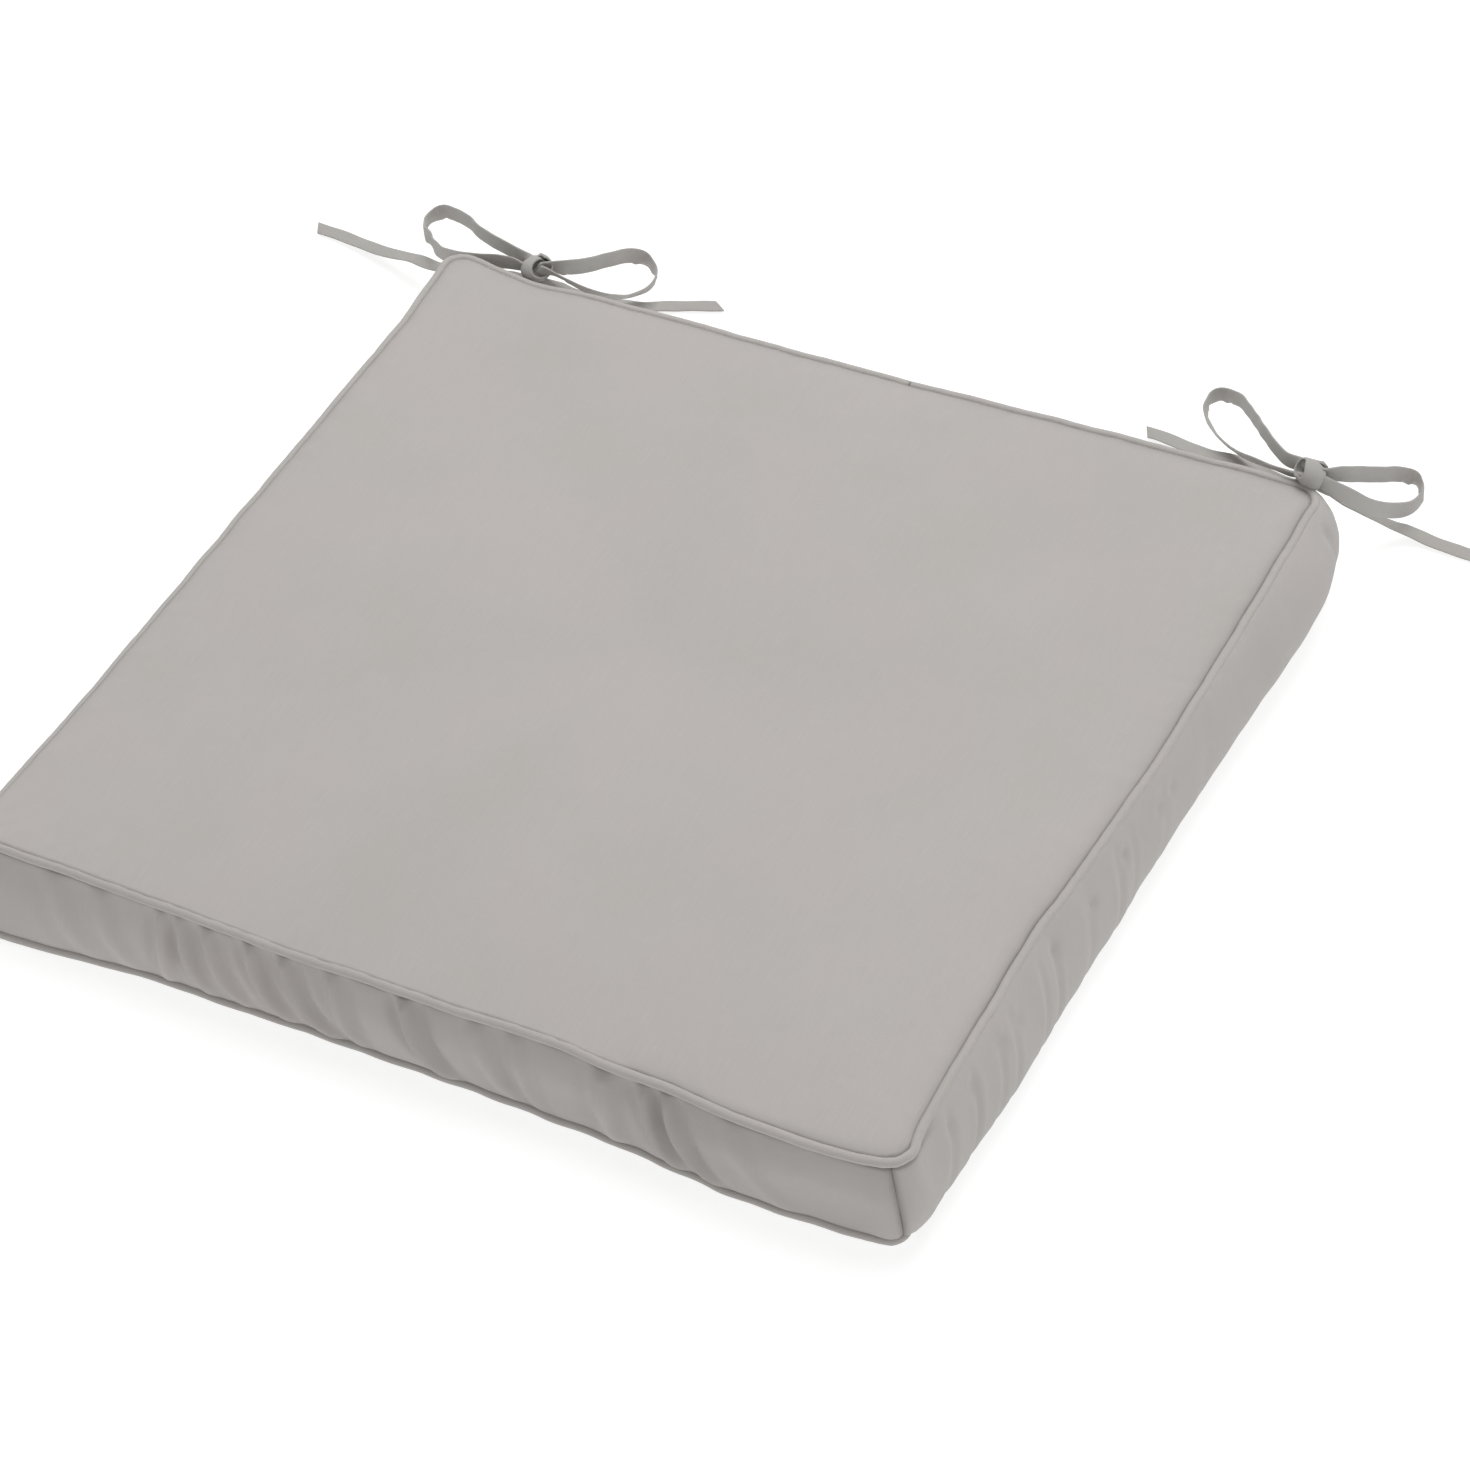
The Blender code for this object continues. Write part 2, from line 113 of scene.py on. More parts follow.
# Folds down the front band: place at the top, drift by the foot, height and width, in mm.
FRONT_FOLDS = [
    (-158, 14, 1.3, 4.5), (-137, 12, 1.5, 4), (-109, -2, 3.0, 2.9), (-102, 10, 2.8, 2.8), (-89, 13, 2.9, 2.9),
    (-70, 14, 3.6, 2.8), (-55, 18, 3.8, 2.8), (-34, 9, 2.9, 2.9), (-3, 17, 4.2, 3.0), (27, 14, 1.7, 3.6),
    (43, 8, 1.7, 3.6), (81, 3, 3.3, 4.5), (98, 14, 3.8, 2.9), (107, 21, 3.3, 2.9), (135, 22, 1.1, 5),
]
LEFT_FOLDS = [
    (-150, 14, 0.7, 6), (-118, -12, 0.6, 7), (-70, 15, 0.8, 5), (-22, 12, 0.6, 7), (30, -14, 0.8, 6),
    (74, 12, 0.7, 6), (118, 16, 0.6, 6), (152, -10, 0.7, 6),
]
# Soft pleats in the lower part of the right band, and the dimples over them: place, height and depth.
RIGHT_FOLDS = [
    (-169, -10, -0.5, 2.2), (-147, -13, -0.8, 2.2), (-127, -13, -0.5, 2.2), (-114, -14, -0.6, 2.2),
    (-86, -14, -0.6, 2.2), (-74, -14, -0.7, 2.2), (-46, -14, -0.4, 3), (-20, -14, -0.6, 2.4),
    (-7, -14, -0.4, 2.2), (21, -13, -0.3, 3), (60, -10, -0.25, 5),
]
RIGHT_DIMPLES = [
    (-169, 37, 1.0), (-151, 38, 1.2), (-125, 38, 1.2), (-111, 36, 1.2), (-73, 38, 1.5), (-43, 36, 1.5),
    (-15, 37, 1.6), (15, 36, 1.3), (27, 37, 1.0), (188, 41, 1.3), (189, 37, 1.5), (190, 32, 1.2),
]

# ---- Curves and waves on whole arrays ----


def ripple(along, seed, shortest, longest, waves=8):
    """Sum of sine waves of seeded lengths and phases, scaled to about one."""
    rng = np.random.default_rng(seed)
    lengths = rng.uniform(shortest, longest, waves)
    phases = rng.uniform(0, TAU, waves)
    return np.sin(along[..., None] * TAU / lengths + phases).sum(-1) / math.sqrt(waves)


def round_ripple(along, seed, shortest, longest, waves=8):
    """The same round the whole seam line, with each wave going a whole number of times round it."""
    rng = np.random.default_rng(seed)
    turns = rng.integers(int(ROUND / longest), int(ROUND / shortest) + 1, waves)
    phases = rng.uniform(0, TAU, waves)
    return np.sin(along[..., None] * TAU * turns / ROUND + phases).sum(-1) / math.sqrt(waves)


def dunes(x, y, seed, shortest, longest, waves=10):
    """Sum of plane sine waves that run in seeded directions over x and y."""
    rng = np.random.default_rng(seed)
    lengths = rng.uniform(shortest, longest, waves)
    turns = rng.uniform(0, TAU, waves)
    phases = rng.uniform(0, TAU, waves)
    across = x[..., None] * np.cos(turns) + y[..., None] * np.sin(turns)
    return np.sin(across * TAU / lengths + phases).sum(-1) / math.sqrt(waves)


def eased(value, low, high):
    """0 below low, 1 above high, and the smooth step 3t^2 - 2t^3 between them."""
    t = np.clip((value - low) / (high - low), 0, 1)
    return t * t * (3 - 2 * t)


def through_points(points, spacing):
    """Catmull-Rom curve through rows of numbers, whose first three are a place, read at an even spacing."""
    rows = np.array(points, float)
    rows = np.vstack([2 * rows[0] - rows[1], rows, 2 * rows[-1] - rows[-2]])
    t = np.linspace(0, 1, 24, endpoint=False)[None, :, None]
    a, b, c, d = (rows[i : len(rows) - 3 + i, None, :] for i in range(4))
    curve = b + 0.5 * ((c - a) * t + (2 * a - 5 * b + 4 * c - d) * t**2 + (3 * b - a - 3 * c + d) * t**3)
    curve = np.vstack([curve.reshape(-1, rows.shape[1]), rows[-2]])
    run = np.concatenate([[0], np.cumsum(np.linalg.norm(np.diff(curve[:, :3], axis=0), axis=1))])
    even = np.linspace(0, run[-1], max(2, round(run[-1] / spacing)) + 1)
    return np.stack([np.interp(even, run, column) for column in curve.T], 1)


# ---- The seam line: a rounded square, walked anticlockwise from the middle of the front right corner ----


def walk(along):
    """Place and outward direction in plan at a distance along the seam line."""
    past = along - CORNER * TAU / 8
    turn = np.floor(past / SIDE)
    rest = past - turn * SIDE
    angle = np.clip(rest - STRAIGHT, 0, None) / CORNER
    x = SEAM_LINE - CORNER + CORNER * np.cos(angle)
    y = np.minimum(rest, STRAIGHT) - STRAIGHT / 2 + CORNER * np.sin(angle)
    c, s = np.cos(turn * TAU / 4), np.sin(turn * TAU / 4)
    out_x, out_y = np.cos(angle), np.sin(angle)
    place = np.stack([x * c - y * s, x * s + y * c], -1)
    return place, np.stack([out_x * c - out_y * s, out_x * s + out_y * c], -1)


def along_side(side, place):
    """Distance along the seam line of a place on one side, both in metres."""
    order = ["right", "back", "left", "front"].index(side)
    forward = place if side in ("right", "front") else -place
    return (order + 0.5) * SIDE + forward


def wander(along, sides):
    """Offset at a distance along the seam line: straight runs between the given places, then blurred."""
    marks = sorted((along_side(side, p * MM), v * MM) for side in sides for p, v in sides[side])
    at, value = np.array(marks).T
    grid = np.arange(0, ROUND, MM)
    line = np.interp(grid, at, value, period=ROUND)
    shift = np.minimum(grid, ROUND - grid)
    kernel = np.exp(-((shift / WANDER_BLUR) ** 2) / 2)
    line = np.fft.irfft(np.fft.rfft(line) * np.fft.rfft(kernel / kernel.sum()), len(grid))
    return np.interp(along, grid, line, period=ROUND)


def seam(along, top):
    """Places (x, y, z) and outward directions of a seam line, with its wander and a slight ripple."""
    place, out = walk(along)
    if top:
        offset = wander(along, TOP_WANDER) + 0.14 * MM * round_ripple(along, 11, 22 * MM, 90 * MM)
        height = TOP_SEAM + 0.25 * MM * round_ripple(along, 12, 30 * MM, 120 * MM)
    else:
        offset = wander(along, BOTTOM_WANDER) + 0.2 * MM * round_ripple(along, 13, 22 * MM, 90 * MM)
        height = BOTTOM_SEAM + 0.12 * MM * (1 + round_ripple(along, 14, 40 * MM, 120 * MM))
    plan = place + out * offset[..., None]
    return np.concatenate([plan, height[..., None]], -1), np.concatenate([out, 0 * height[..., None]], -1)


# ---- Meshes from grids ----


def grid_faces(rows, columns, wrapped=False):
    """Quads of a grid of points, whose columns join round where they are wrapped."""
    i = np.arange(rows - 1)[:, None] * columns
    j = np.arange(columns if wrapped else columns - 1)[None, :]
    below, beside = i + columns, (j + 1) % columns
    corners = (i + j, below + j, below + beside, i + beside)
    return np.stack(np.broadcast_arrays(*corners), -1).reshape(-1, 4)


def capped(rows, columns, flipped=False):
    """Faces of a tube's grid and of its two ends, turned the other way where flipped."""
    faces = grid_faces(rows, columns, True).tolist()
    faces += [list(range(columns)), list(range(rows * columns - 1, (rows - 1) * columns - 1, -1))]
    return [face[::-1] for face in faces] if flipped else faces


def piece(name, points, faces, material, cloth=None):
    """An object at the origin from places, faces and, for cloth, (along, across, strength of painted shade at
    a seam).
    """
    mesh = bpy.data.meshes.new(name)
    faces = faces.tolist() if isinstance(faces, np.ndarray) else faces
    mesh.from_pydata(points.reshape(-1, 3).tolist(), [], faces)
    mesh.validate()
    if cloth is not None:
        layer = mesh.attributes.new("cloth", "FLOAT_VECTOR", "POINT")
        layer.data.foreach_set("vector", cloth.reshape(-1, 3).astype(np.float32).ravel())
    mesh.shade_smooth()
    mesh.materials.append(material)
    made = bpy.data.objects.new(name, mesh)
    bpy.context.scene.collection.objects.link(made)
    return made


def thicken(made, thickness=CLOTH):
    """A sheet's inner face, set inwards of the face that it was made with."""
    wall = made.modifiers.new("thickness", "SOLIDIFY")
    wall.thickness = thickness
    wall.offset = -1
    return made


def sweep(name, centres, across, through, outline, material, cloth=None, flipped=False, shift=0):
    """A closed outline of (across, through) lengths carried along centres, with its ends capped."""
    points = centres[:, None] + across[:, None] * outline[..., :1] + through[:, None] * outline[..., 1:]
    return piece(name, points + shift, capped(*points.shape[:2], flipped), material, cloth)


def wear(made, body, slot, *nodes):
    """Puts a finished piece on its body, in place of the nodes that it stands for."""
    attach(made, body)
    if nodes:
        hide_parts(*nodes)
    return made


# ---- Shader groups ----


def link(tree, made, values):
    """Links or sets inputs of a shader node."""
    for socket, value in values.items():
        if isinstance(value, bpy.types.NodeSocket):
            tree.links.new(value, made.inputs[socket])
        else:
            made.inputs[socket].default_value = value


def node(tree, kind, inputs=None, **settings):
    """A shader node with its settings, and its inputs either linked or set."""
    made = tree.nodes.new(kind)
    for name, value in settings.items():
        setattr(made, name, value)
    link(tree, made, inputs or {})
    return made


def sums(tree, operation, *values, clamp=False):
    inputs = dict(enumerate(values))
    return node(tree, "ShaderNodeMath", inputs, operation=operation, use_clamp=clamp).outputs[0]


def spread(tree, value, low, high, to_low=0.0, to_high=1.0):
    """Maps low..high on to to_low..to_high, clamped."""
    names = ("Value", "From Min", "From Max", "To Min", "To Max")
    return node(tree, "ShaderNodeMapRange", dict(zip(names, (value, low, high, to_low, to_high)))).outputs[0]


def group(name, numbers):
    """A new shader group that takes a vector and numbers, and what it is given."""
    tree = bpy.data.node_groups.new(name, "ShaderNodeTree")
    tree.interface.new_socket("Vector", in_out="INPUT", socket_type="NodeSocketVector")
    for label, value in numbers.items():
        tree.interface.new_socket(label, in_out="INPUT", socket_type="NodeSocketFloat").default_value = value
    return tree, node(tree, "NodeGroupInput").outputs


def give(tree, results):
    """The finished group, with its results."""
    for label in results:
        tree.interface.new_socket(label, in_out="OUTPUT", socket_type="NodeSocketFloat")
    node(tree, "NodeGroupOutput", results)
    return tree


def noise(tree, vector, scale, detail=2.0, roughness=0.5):
    wanted = {"Vector": vector, "Scale": scale, "Detail": detail, "Roughness": roughness}
    return node(tree, "ShaderNodeTexNoise", wanted).outputs["Fac"]


def streaks(tree, vector, along, across, detail=1.0):
    """Noise with a scale along a vector's first number and another along its second."""
    factor = node(tree, "ShaderNodeCombineXYZ", {0: along, 1: across, 2: 1.0}).outputs[0]
    drawn = node(tree, "ShaderNodeVectorMath", {0: vector, 1: factor}, operation="MULTIPLY").outputs[0]
    return noise(tree, drawn, 1.0, detail)


def cloth_place(tree):
    """A piece's own lengths along and across its cloth, and the strength of the painted shade at its seams.
    """
    named = {"attribute_name": "cloth", "attribute_type": "GEOMETRY"}
    return node(tree, "ShaderNodeAttribute", **named).outputs["Vector"]


def object_place(tree):
    return node(tree, "ShaderNodeTexCoord").outputs["Object"]


def make_weave_group():
    """Plain weave. Each thread is the arch |sin| across its pitch, and warp and weft are on top in turn.

    Slubs are noise drawn out along the threads, where a yarn is thicker, paler and prouder.
    """
    tree, given = group("plain weave", {"Pitch": 0.0005, "Unevenness": 0.3, "Slubs": 0.5})
    vector = given["Vector"]
    places = node(tree, "ShaderNodeSeparateXYZ", {0: vector}).outputs
    drifts = streaks(tree, vector, 260.0, 40.0, 2.0), streaks(tree, vector, 40.0, 260.0, 2.0)
    threads = []
    for place, drift in zip(places, drifts):
        count = sums(tree, "DIVIDE", place, given["Pitch"])
        shift = sums(tree, "MULTIPLY", sums(tree, "SUBTRACT", drift, 0.5), given["Unevenness"])
        threads.append(sums(tree, "SINE", sums(tree, "MULTIPLY", sums(tree, "ADD", count, shift), math.pi)))
    warp, weft = (sums(tree, "ABSOLUTE", thread) for thread in threads)
    cell = sums(tree, "MULTIPLY", *threads)
    over = sums(tree, "MULTIPLY_ADD", cell, 5.0, 0.5, clamp=True)
    tops = []
    for upper, crossing in ((warp, weft), (weft, warp)):
        tops.append(sums(tree, "MULTIPLY", upper, sums(tree, "MULTIPLY_ADD", crossing, 0.35, 0.65)))
    weave = node(tree, "ShaderNodeMix", {"Factor": over, "A": tops[1], "B": tops[0]}).outputs["Result"]
    warp_slub = spread(tree, streaks(tree, vector, 1100.0, 110.0), 0.62, 0.80)
    weft_slub = spread(tree, streaks(tree, vector, 110.0, 1100.0), 0.62, 0.80)
    slub = sums(tree, "MULTIPLY", sums(tree, "MAXIMUM", warp_slub, weft_slub), given["Slubs"])
    yarn = streaks(tree, vector, 1500.0, 60.0)
    mottle = noise(tree, vector, 14.0, 3.0)
    # painted shade: the hollows between the threads are darker; the paler slubs and the yarns' tones are the
    # yarn's own
    shade = sums(tree, "MULTIPLY_ADD", weave, 0.20, 0.80)
    shade = sums(tree, "MULTIPLY_ADD", slub, 0.035, shade)
    shade = sums(tree, "ADD", shade, sums(tree, "MULTIPLY_ADD", yarn, 0.06, -0.03))
    relief = sums(tree, "MULTIPLY_ADD", slub, 0.3, weave)
    return give(tree, {"Shade": shade, "Relief": relief, "Mottle": mottle})


def make_dust_and_shade_group():
    """Dust and handling: broad noise that lightens and fine noise that specks; and painted shade, the crease
    mask times its strength, that darkens the colour.
    """
    tree, given = group("dust_and_painted_shade", {"Crease": 0.0, "Strength": 0.2})
    broad = noise(tree, given["Vector"], 9.0, 3.0)
    speck = noise(tree, given["Vector"], 420.0, 2.0, 0.6)
    level = sums(tree, "MULTIPLY_ADD", broad, 0.10, 0.95)
    # painted shade along seams and creases
    dark = sums(tree, "MULTIPLY", given["Crease"], given["Strength"])
    return give(tree, {"Shade": sums(tree, "SUBTRACT", level, dark), "Speck": speck})


WEAVE = make_weave_group()
DUST_AND_SHADE_GROUP = make_dust_and_shade_group()


def use(tree, made_group, inputs):
    return node(tree, "ShaderNodeGroup", inputs, node_tree=made_group).outputs


def start_material(name, roughness):
    """A material with its Principled shader, its tree and that shader."""
    material = bpy.data.materials.new(name)
    material.use_nodes = True
    shader = material.node_tree.nodes["Principled BSDF"]
    shader.inputs["Roughness"].default_value = roughness
    return material, material.node_tree, shader


def mixed(tree, factor, first, second, blend="MIX"):
    """Two colours, each a socket or three numbers, mixed by a factor."""
    mix = node(tree, "ShaderNodeMix", {"Factor": factor}, data_type="RGBA", blend_type=blend)
    for socket, value in ((mix.inputs[6], first), (mix.inputs[7], second)):
        if isinstance(value, bpy.types.NodeSocket):
            tree.links.new(value, socket)
        else:
            socket.default_value = (*value, 1.0)
    return mix.outputs[2]


def tinted(tree, colour, shade):
    """The colour multiplied by a shade."""
    grey = node(tree, "ShaderNodeCombineColor", {0: shade, 1: shade, 2: shade}).outputs[0]
    return mixed(tree, 1.0, colour, grey, "MULTIPLY")


def bumped(tree, shader, height, distance, strength):
    bump = node(tree, "ShaderNodeBump", {"Height": height, "Distance": distance, "Strength": strength})
    tree.links.new(bump.outputs[0], shader.inputs["Normal"])


def woven(name, colour, warm, pitch=0.46 * MM, uneven=0.5, slubs=1.0, bump=0.55, own=True, crease=0.40):
    """Matt woven cloth in two close tones, on the cloth's own lengths or else on object places, with painted
    shade along its seams as strong as crease.
    """
    material, tree, shader = start_material(name, 0.86)
    place = cloth_place(tree)
    if not own:
        turned = {"Vector": object_place(tree), "Rotation": (math.radians(90), 0, 0)}
        place = node(tree, "ShaderNodeMapping", turned).outputs[0]
    parts = node(tree, "ShaderNodeSeparateXYZ", {0: place}).outputs
    flat = node(tree, "ShaderNodeCombineXYZ", {0: parts[0], 1: parts[1], 2: 0.0}).outputs[0]
    threads = use(tree, WEAVE, {"Vector": flat, "Pitch": pitch, "Unevenness": uneven, "Slubs": slubs})
    # painted shade: the cloth's third number times crease darkens the colour at seams
    dust_and_shade = use(tree, DUST_AND_SHADE_GROUP, {"Vector": flat, "Crease": parts[2] if own else 0.0, "Strength": crease})
    tone = mixed(tree, spread(tree, threads["Mottle"], 0.35, 0.65), colour, warm)
    shade = sums(tree, "MULTIPLY", threads["Shade"], dust_and_shade["Shade"])
    bumped(tree, shader, sums(tree, "MULTIPLY_ADD", dust_and_shade["Speck"], 0.25, threads["Relief"]), 0.16 * MM, bump)
    surface = {
        "Base Color": tinted(tree, tone, shade),
        "Roughness": spread(tree, threads["Relief"], 0.0, 1.0, 0.95, 0.80),
        "Specular IOR Level": 0.25,
        "Sheen Weight": 0.18,
        "Sheen Roughness": 0.5,
    }
    link(tree, shader, surface)
    return material


COVER = woven("cover_cloth", (0.520, 0.498, 0.474), (0.538, 0.504, 0.486))
PIPED = woven("piping_cloth", (0.512, 0.490, 0.465), (0.528, 0.496, 0.476), crease=0.0)
# the ties are of the cover's cloth; their darker colour is painted shade, for straps that stand on edge
TIES = woven("tie_cloth", (0.470, 0.458, 0.430), (0.480, 0.456, 0.436), pitch=0.42 * MM, crease=0.0)
TAPE = woven("zip_tape", (0.430, 0.414, 0.390), (0.440, 0.416, 0.396), 0.34 * MM, 0.2, 0.3, 0.7, own=False)


def make_foam_material():
    """Open cells: Voronoi pores at two sizes, with painted shade in the hollows, a little yellowed in
    patches.
    """
    material, tree, shader = start_material("seat_foam", 0.92)
    place = object_place(tree)
    small, large = (
        node(tree, "ShaderNodeTexVoronoi", {"Vector": place, "Scale": scale}).outputs["Distance"]
        for scale in (700.0, 260.0)
    )
    pores = sums(tree, "MULTIPLY_ADD", large, 0.5, small)
    tone = mixed(tree, noise(tree, place, 10.0, 3.0), (0.86, 0.80, 0.60), (0.82, 0.72, 0.48))
    # painted shade: darker in the pores' hollows
    shade = spread(tree, pores, 0.0, 0.9, 0.72, 1.05)
    link(tree, shader, {"Base Color": tinted(tree, tone, shade)})
    bumped(tree, shader, pores, 0.6 * MM, 0.8)
    return material


def make_cotton_material():
    """Soft twisted yarn: fine fibres drawn out along the cord."""
    material, tree, shader = start_material("cotton_cord", 0.95)
    fibres = streaks(tree, cloth_place(tree), 500.0, 9000.0, 3.0)
    shade = spread(tree, fibres, 0.3, 0.7, 0.80, 1.0)
    link(tree, shader, {"Base Color": tinted(tree, (0.80, 0.78, 0.73), shade), "Sheen Weight": 0.3})
    bumped(tree, shader, fibres, 0.1 * MM, 0.7)
    return material


def start_satin(name, roughness, smoothest, roughest, peel, strength):
    """The start of a satin material, whose roughness and skin follow fine noise, and its dust, with no
    painted shade.
    """
    material, tree, shader = start_material(name, roughness)
    dust_and_shade = use(tree, DUST_AND_SHADE_GROUP, {"Vector": object_place(tree), "Strength": 0.0})
    link(tree, shader, {"Roughness": spread(tree, dust_and_shade["Speck"], 0.3, 0.7, smoothest, roughest)})
    bumped(tree, shader, dust_and_shade["Speck"], peel, strength)
    return material, tree, shader, dust_and_shade


def make_nylon_material():
    """Satin filament, with faint handling marks."""
    material, tree, shader, dust_and_shade = start_satin("coil_nylon", 0.42, 0.34, 0.52, 0.03 * MM, 0.4)
    colour = tinted(tree, (0.42, 0.402, 0.378), dust_and_shade["Shade"])
    link(tree, shader, {"Base Color": colour, "Subsurface Weight": 0.05})
    return material


def make_enamel_material():
    """Satin enamel over metal: a slight orange peel, rubbed through to bright metal on its edges."""
    material, tree, shader, dust_and_shade = start_satin("slider_metal", 0.38, 0.30, 0.46, 0.02 * MM, 0.35)
    edges = spread(tree, node(tree, "ShaderNodeNewGeometry").outputs["Pointiness"], 0.53, 0.60)
    rubbed = sums(tree, "MULTIPLY", edges, spread(tree, dust_and_shade["Speck"], 0.35, 0.6))
    tone = mixed(tree, rubbed, (0.42, 0.40, 0.375), (0.62, 0.60, 0.57))
    metal = sums(tree, "MULTIPLY_ADD", rubbed, 0.85, 0.08)
    link(tree, shader, {"Base Color": tinted(tree, tone, dust_and_shade["Shade"]), "Metallic": metal})
    return material


FOAM = make_foam_material()
COTTON = make_cotton_material()
NYLON = make_nylon_material()
ENAMEL = make_enamel_material()
THREAD = woven("sewing_thread", (0.50, 0.48, 0.45), (0.52, 0.49, 0.46), 0.2 * MM, 0.2, 0.0, 0.5, own=False)

# ---- The cover's panels ----

TUCK = 0.6 * MM  # how far a band's edge lies inside the seam line, in the piping
PANEL_TUCK = 1.1 * MM  # the same for the top and the bottom panel
CREASE_REACH = 1.6 * MM  # how far a seam's shade reaches over the cloth
SEAM_FADE = 15 * MM  # how far in a panel follows its seam line's ups and downs
CROWN = CROWN_TOP - TOP_SEAM - 1.6 * MM
CROWN_POWER = 6
CROWN_START = 2.0 * MM  # height over the seam line that the top panel reaches near its edge

# How far above the seam line the top panel leaves its piping: flush with it where the seam is rolled out.
EDGE_HEIGHT = {
    "right": [(-186, 0.5), (186, 0.4)],
    "back": [(150, 0.6), (-150, 0.8)],
    "left": [(150, 1.0), (-150, 1.4)],
    "front": [(-185, 1.72), (75, 1.72), (105, 0.5)],
}


def panel_grid(count):
    """A square grid drawn on the seam line: a point's ring is max(|u|, |v|), its place on it follows v/u."""
    u, v = np.meshgrid(np.linspace(-1, 1, count), np.linspace(-1, 1, count), indexing="ij")
    ring = np.maximum(np.maximum(np.abs(u), np.abs(v)), 1e-9)
    side_on = np.abs(u) >= np.abs(v)
    order = np.where(side_on, np.where(u > 0, 0.5, 2.5), np.where(v > 0, 1.5, 3.5))
    share = np.where(side_on, v * np.sign(u), -u * np.sign(v)) / ring
    return ring, (order + share / 2) * SIDE % ROUND


def panel_places(count, top):
    """Grid of a panel: its seam line drawn in towards the middle, distances round it and from its edge."""
    ring, along = panel_grid(count)
    edge, out = seam(along, top)
    tuck = PANEL_TUCK - 0.8 * MM * eased(wander(along, EDGE_HEIGHT), 0.8 * MM, 1.7 * MM) * top
    plan = (edge - out * tuck[..., None])[..., :2] * ring[..., None]
    return plan[..., 0], plan[..., 1], edge[..., 2], along, (1 - ring) * SEAM_LINE


def cloth_of(x, y, from_edge):
    # lengths along and across, and the strength of painted shade at a seam, exp(-distance from it /
    # CREASE_REACH)
    return np.stack([x, y, np.exp(-from_edge / CREASE_REACH)], -1)


def make_top(count=221):
    """Crowned panel: it rises off the piping as 1-exp, then as (1-|x|^6)(1-|y|^6), puckered at its seam."""
    x, y, base, along, inward = panel_places(count, True)
    base = TOP_SEAM + (base - TOP_SEAM) * np.exp(-inward / SEAM_FADE)
    square = (1 - np.abs(x / SEAM_LINE) ** CROWN_POWER) * (1 - np.abs(y / SEAM_LINE) ** CROWN_POWER)
    proud = wander(along, EDGE_HEIGHT)
    # painted shade in the crease between panel and piping, faded out where the panel leaves the piping high
    shade = np.clip(1.3 - proud / (1.3 * MM), 0, 1)
    lift = proud + (CROWN_START - proud) * (1 - np.exp(-inward / (4 * MM))) + CROWN * np.clip(square, 0, 1)
    free = 1 - np.exp(-inward / (1.5 * MM))
    pucker = round_ripple(along, 21, 8 * MM, 26 * MM) * np.exp(-inward / (9 * MM))
    z = base + lift + free * (0.2 * MM * pucker + 0.3 * MM * dunes(x, y, 22, 55 * MM, 190 * MM))
    points, cloth = np.stack([x, y, z], -1), cloth_of(x, y, inward)
    cloth[..., 2] *= shade
    made = piece("top_cloth", points, grid_faces(count, count), COVER, cloth)
    return wear(thicken(made), "pad", "cover_cloth", "top_panel")


def make_bottom(count=161):
    """Flat where it rests, and up to the bottom piping over the last 12 mm, with puckers along its seam."""
    x, y, base, along, inward = panel_places(count, False)
    base = BOTTOM_SEAM + (base - BOTTOM_SEAM) * np.exp(-inward / SEAM_FADE)
    rise = 1 - eased(inward, 0, 12 * MM)
    pucker = 0.15 * MM * round_ripple(along, 23, 8 * MM, 24 * MM) * np.exp(-inward / (8 * MM))
    sag = 0.12 * MM * (1 + np.tanh(dunes(x, y, 24, 60 * MM, 160 * MM)))
    z = np.maximum(0.05 * MM, (base - 0.4 * MM) * rise + pucker + sag * (1 - rise))
    points = np.stack([x, y, z], -1).transpose(1, 0, 2)
    # the cloth's third number is painted shade along the seam
    cloth = cloth_of(x, y, inward).transpose(1, 0, 2)
    made = piece("bottom_cloth", points, grid_faces(count, count), COVER, cloth)
    return wear(thicken(made), "pad", "cover_cloth", "bottom_panel")


def folds(place, t, rows):
    """Ridges with a hollow on each side, drifting by (1-t)^1.8 towards the foot and fading at both seams."""
    height = np.zeros_like(place)
    for top, drift, high, wide in rows:
        d = (place - (top + drift * (1 - t) ** 1.8) * MM) / (wide * MM)
        hollows = np.exp(-((d - 1.8) ** 2)) + np.exp(-((d + 1.8) ** 2))
        height += high * MM * (1.15 * np.exp(-(d**2)) - 0.5 * hollows)
    return height * np.sin(math.pi * np.clip(t, 0, 1)) ** 0.6 * eased(1 - t, 0, 0.16)


def dimples(place, z, rows, reach=2.8 * MM):
    """Small hollows, each a Gaussian round its place and height."""
    depth = np.zeros_like(place)
    for at, height, deep in rows:
        depth += deep * MM * np.exp(-((place - at * MM) ** 2 + (z - height * MM) ** 2) / reach**2)
    return depth


# How low a band is fullest: 1 at mid height, less further down.
BAND_LOW = {
    "right": [(-188, 0.46), (-160, 0.54), (100, 0.60), (160, 0.72), (188, 0.88)],
    "back": [(186, 0.88), (150, 1.0), (-150, 1.0), (-186, 0.6)],
    "left": [(185, 0.6), (-188, 0.75)],
    "front": [(-188, 0.8), (0, 0.88), (188, 0.8)],
}
# How slowly a band swells away from its seams: above 1 it stays tucked under the piping, in a crease.
BAND_CREASE = {
    "right": [(-180, 0.9), (-150, 0.75), (150, 0.75)],
    "back": [(186, 0.75), (-186, 0.75)],
    "left": [(150, 0.75), (-150, 0.9)],
    "front": [(-180, 1.3), (80, 1.3), (150, 1.15), (185, 1.0)],
}
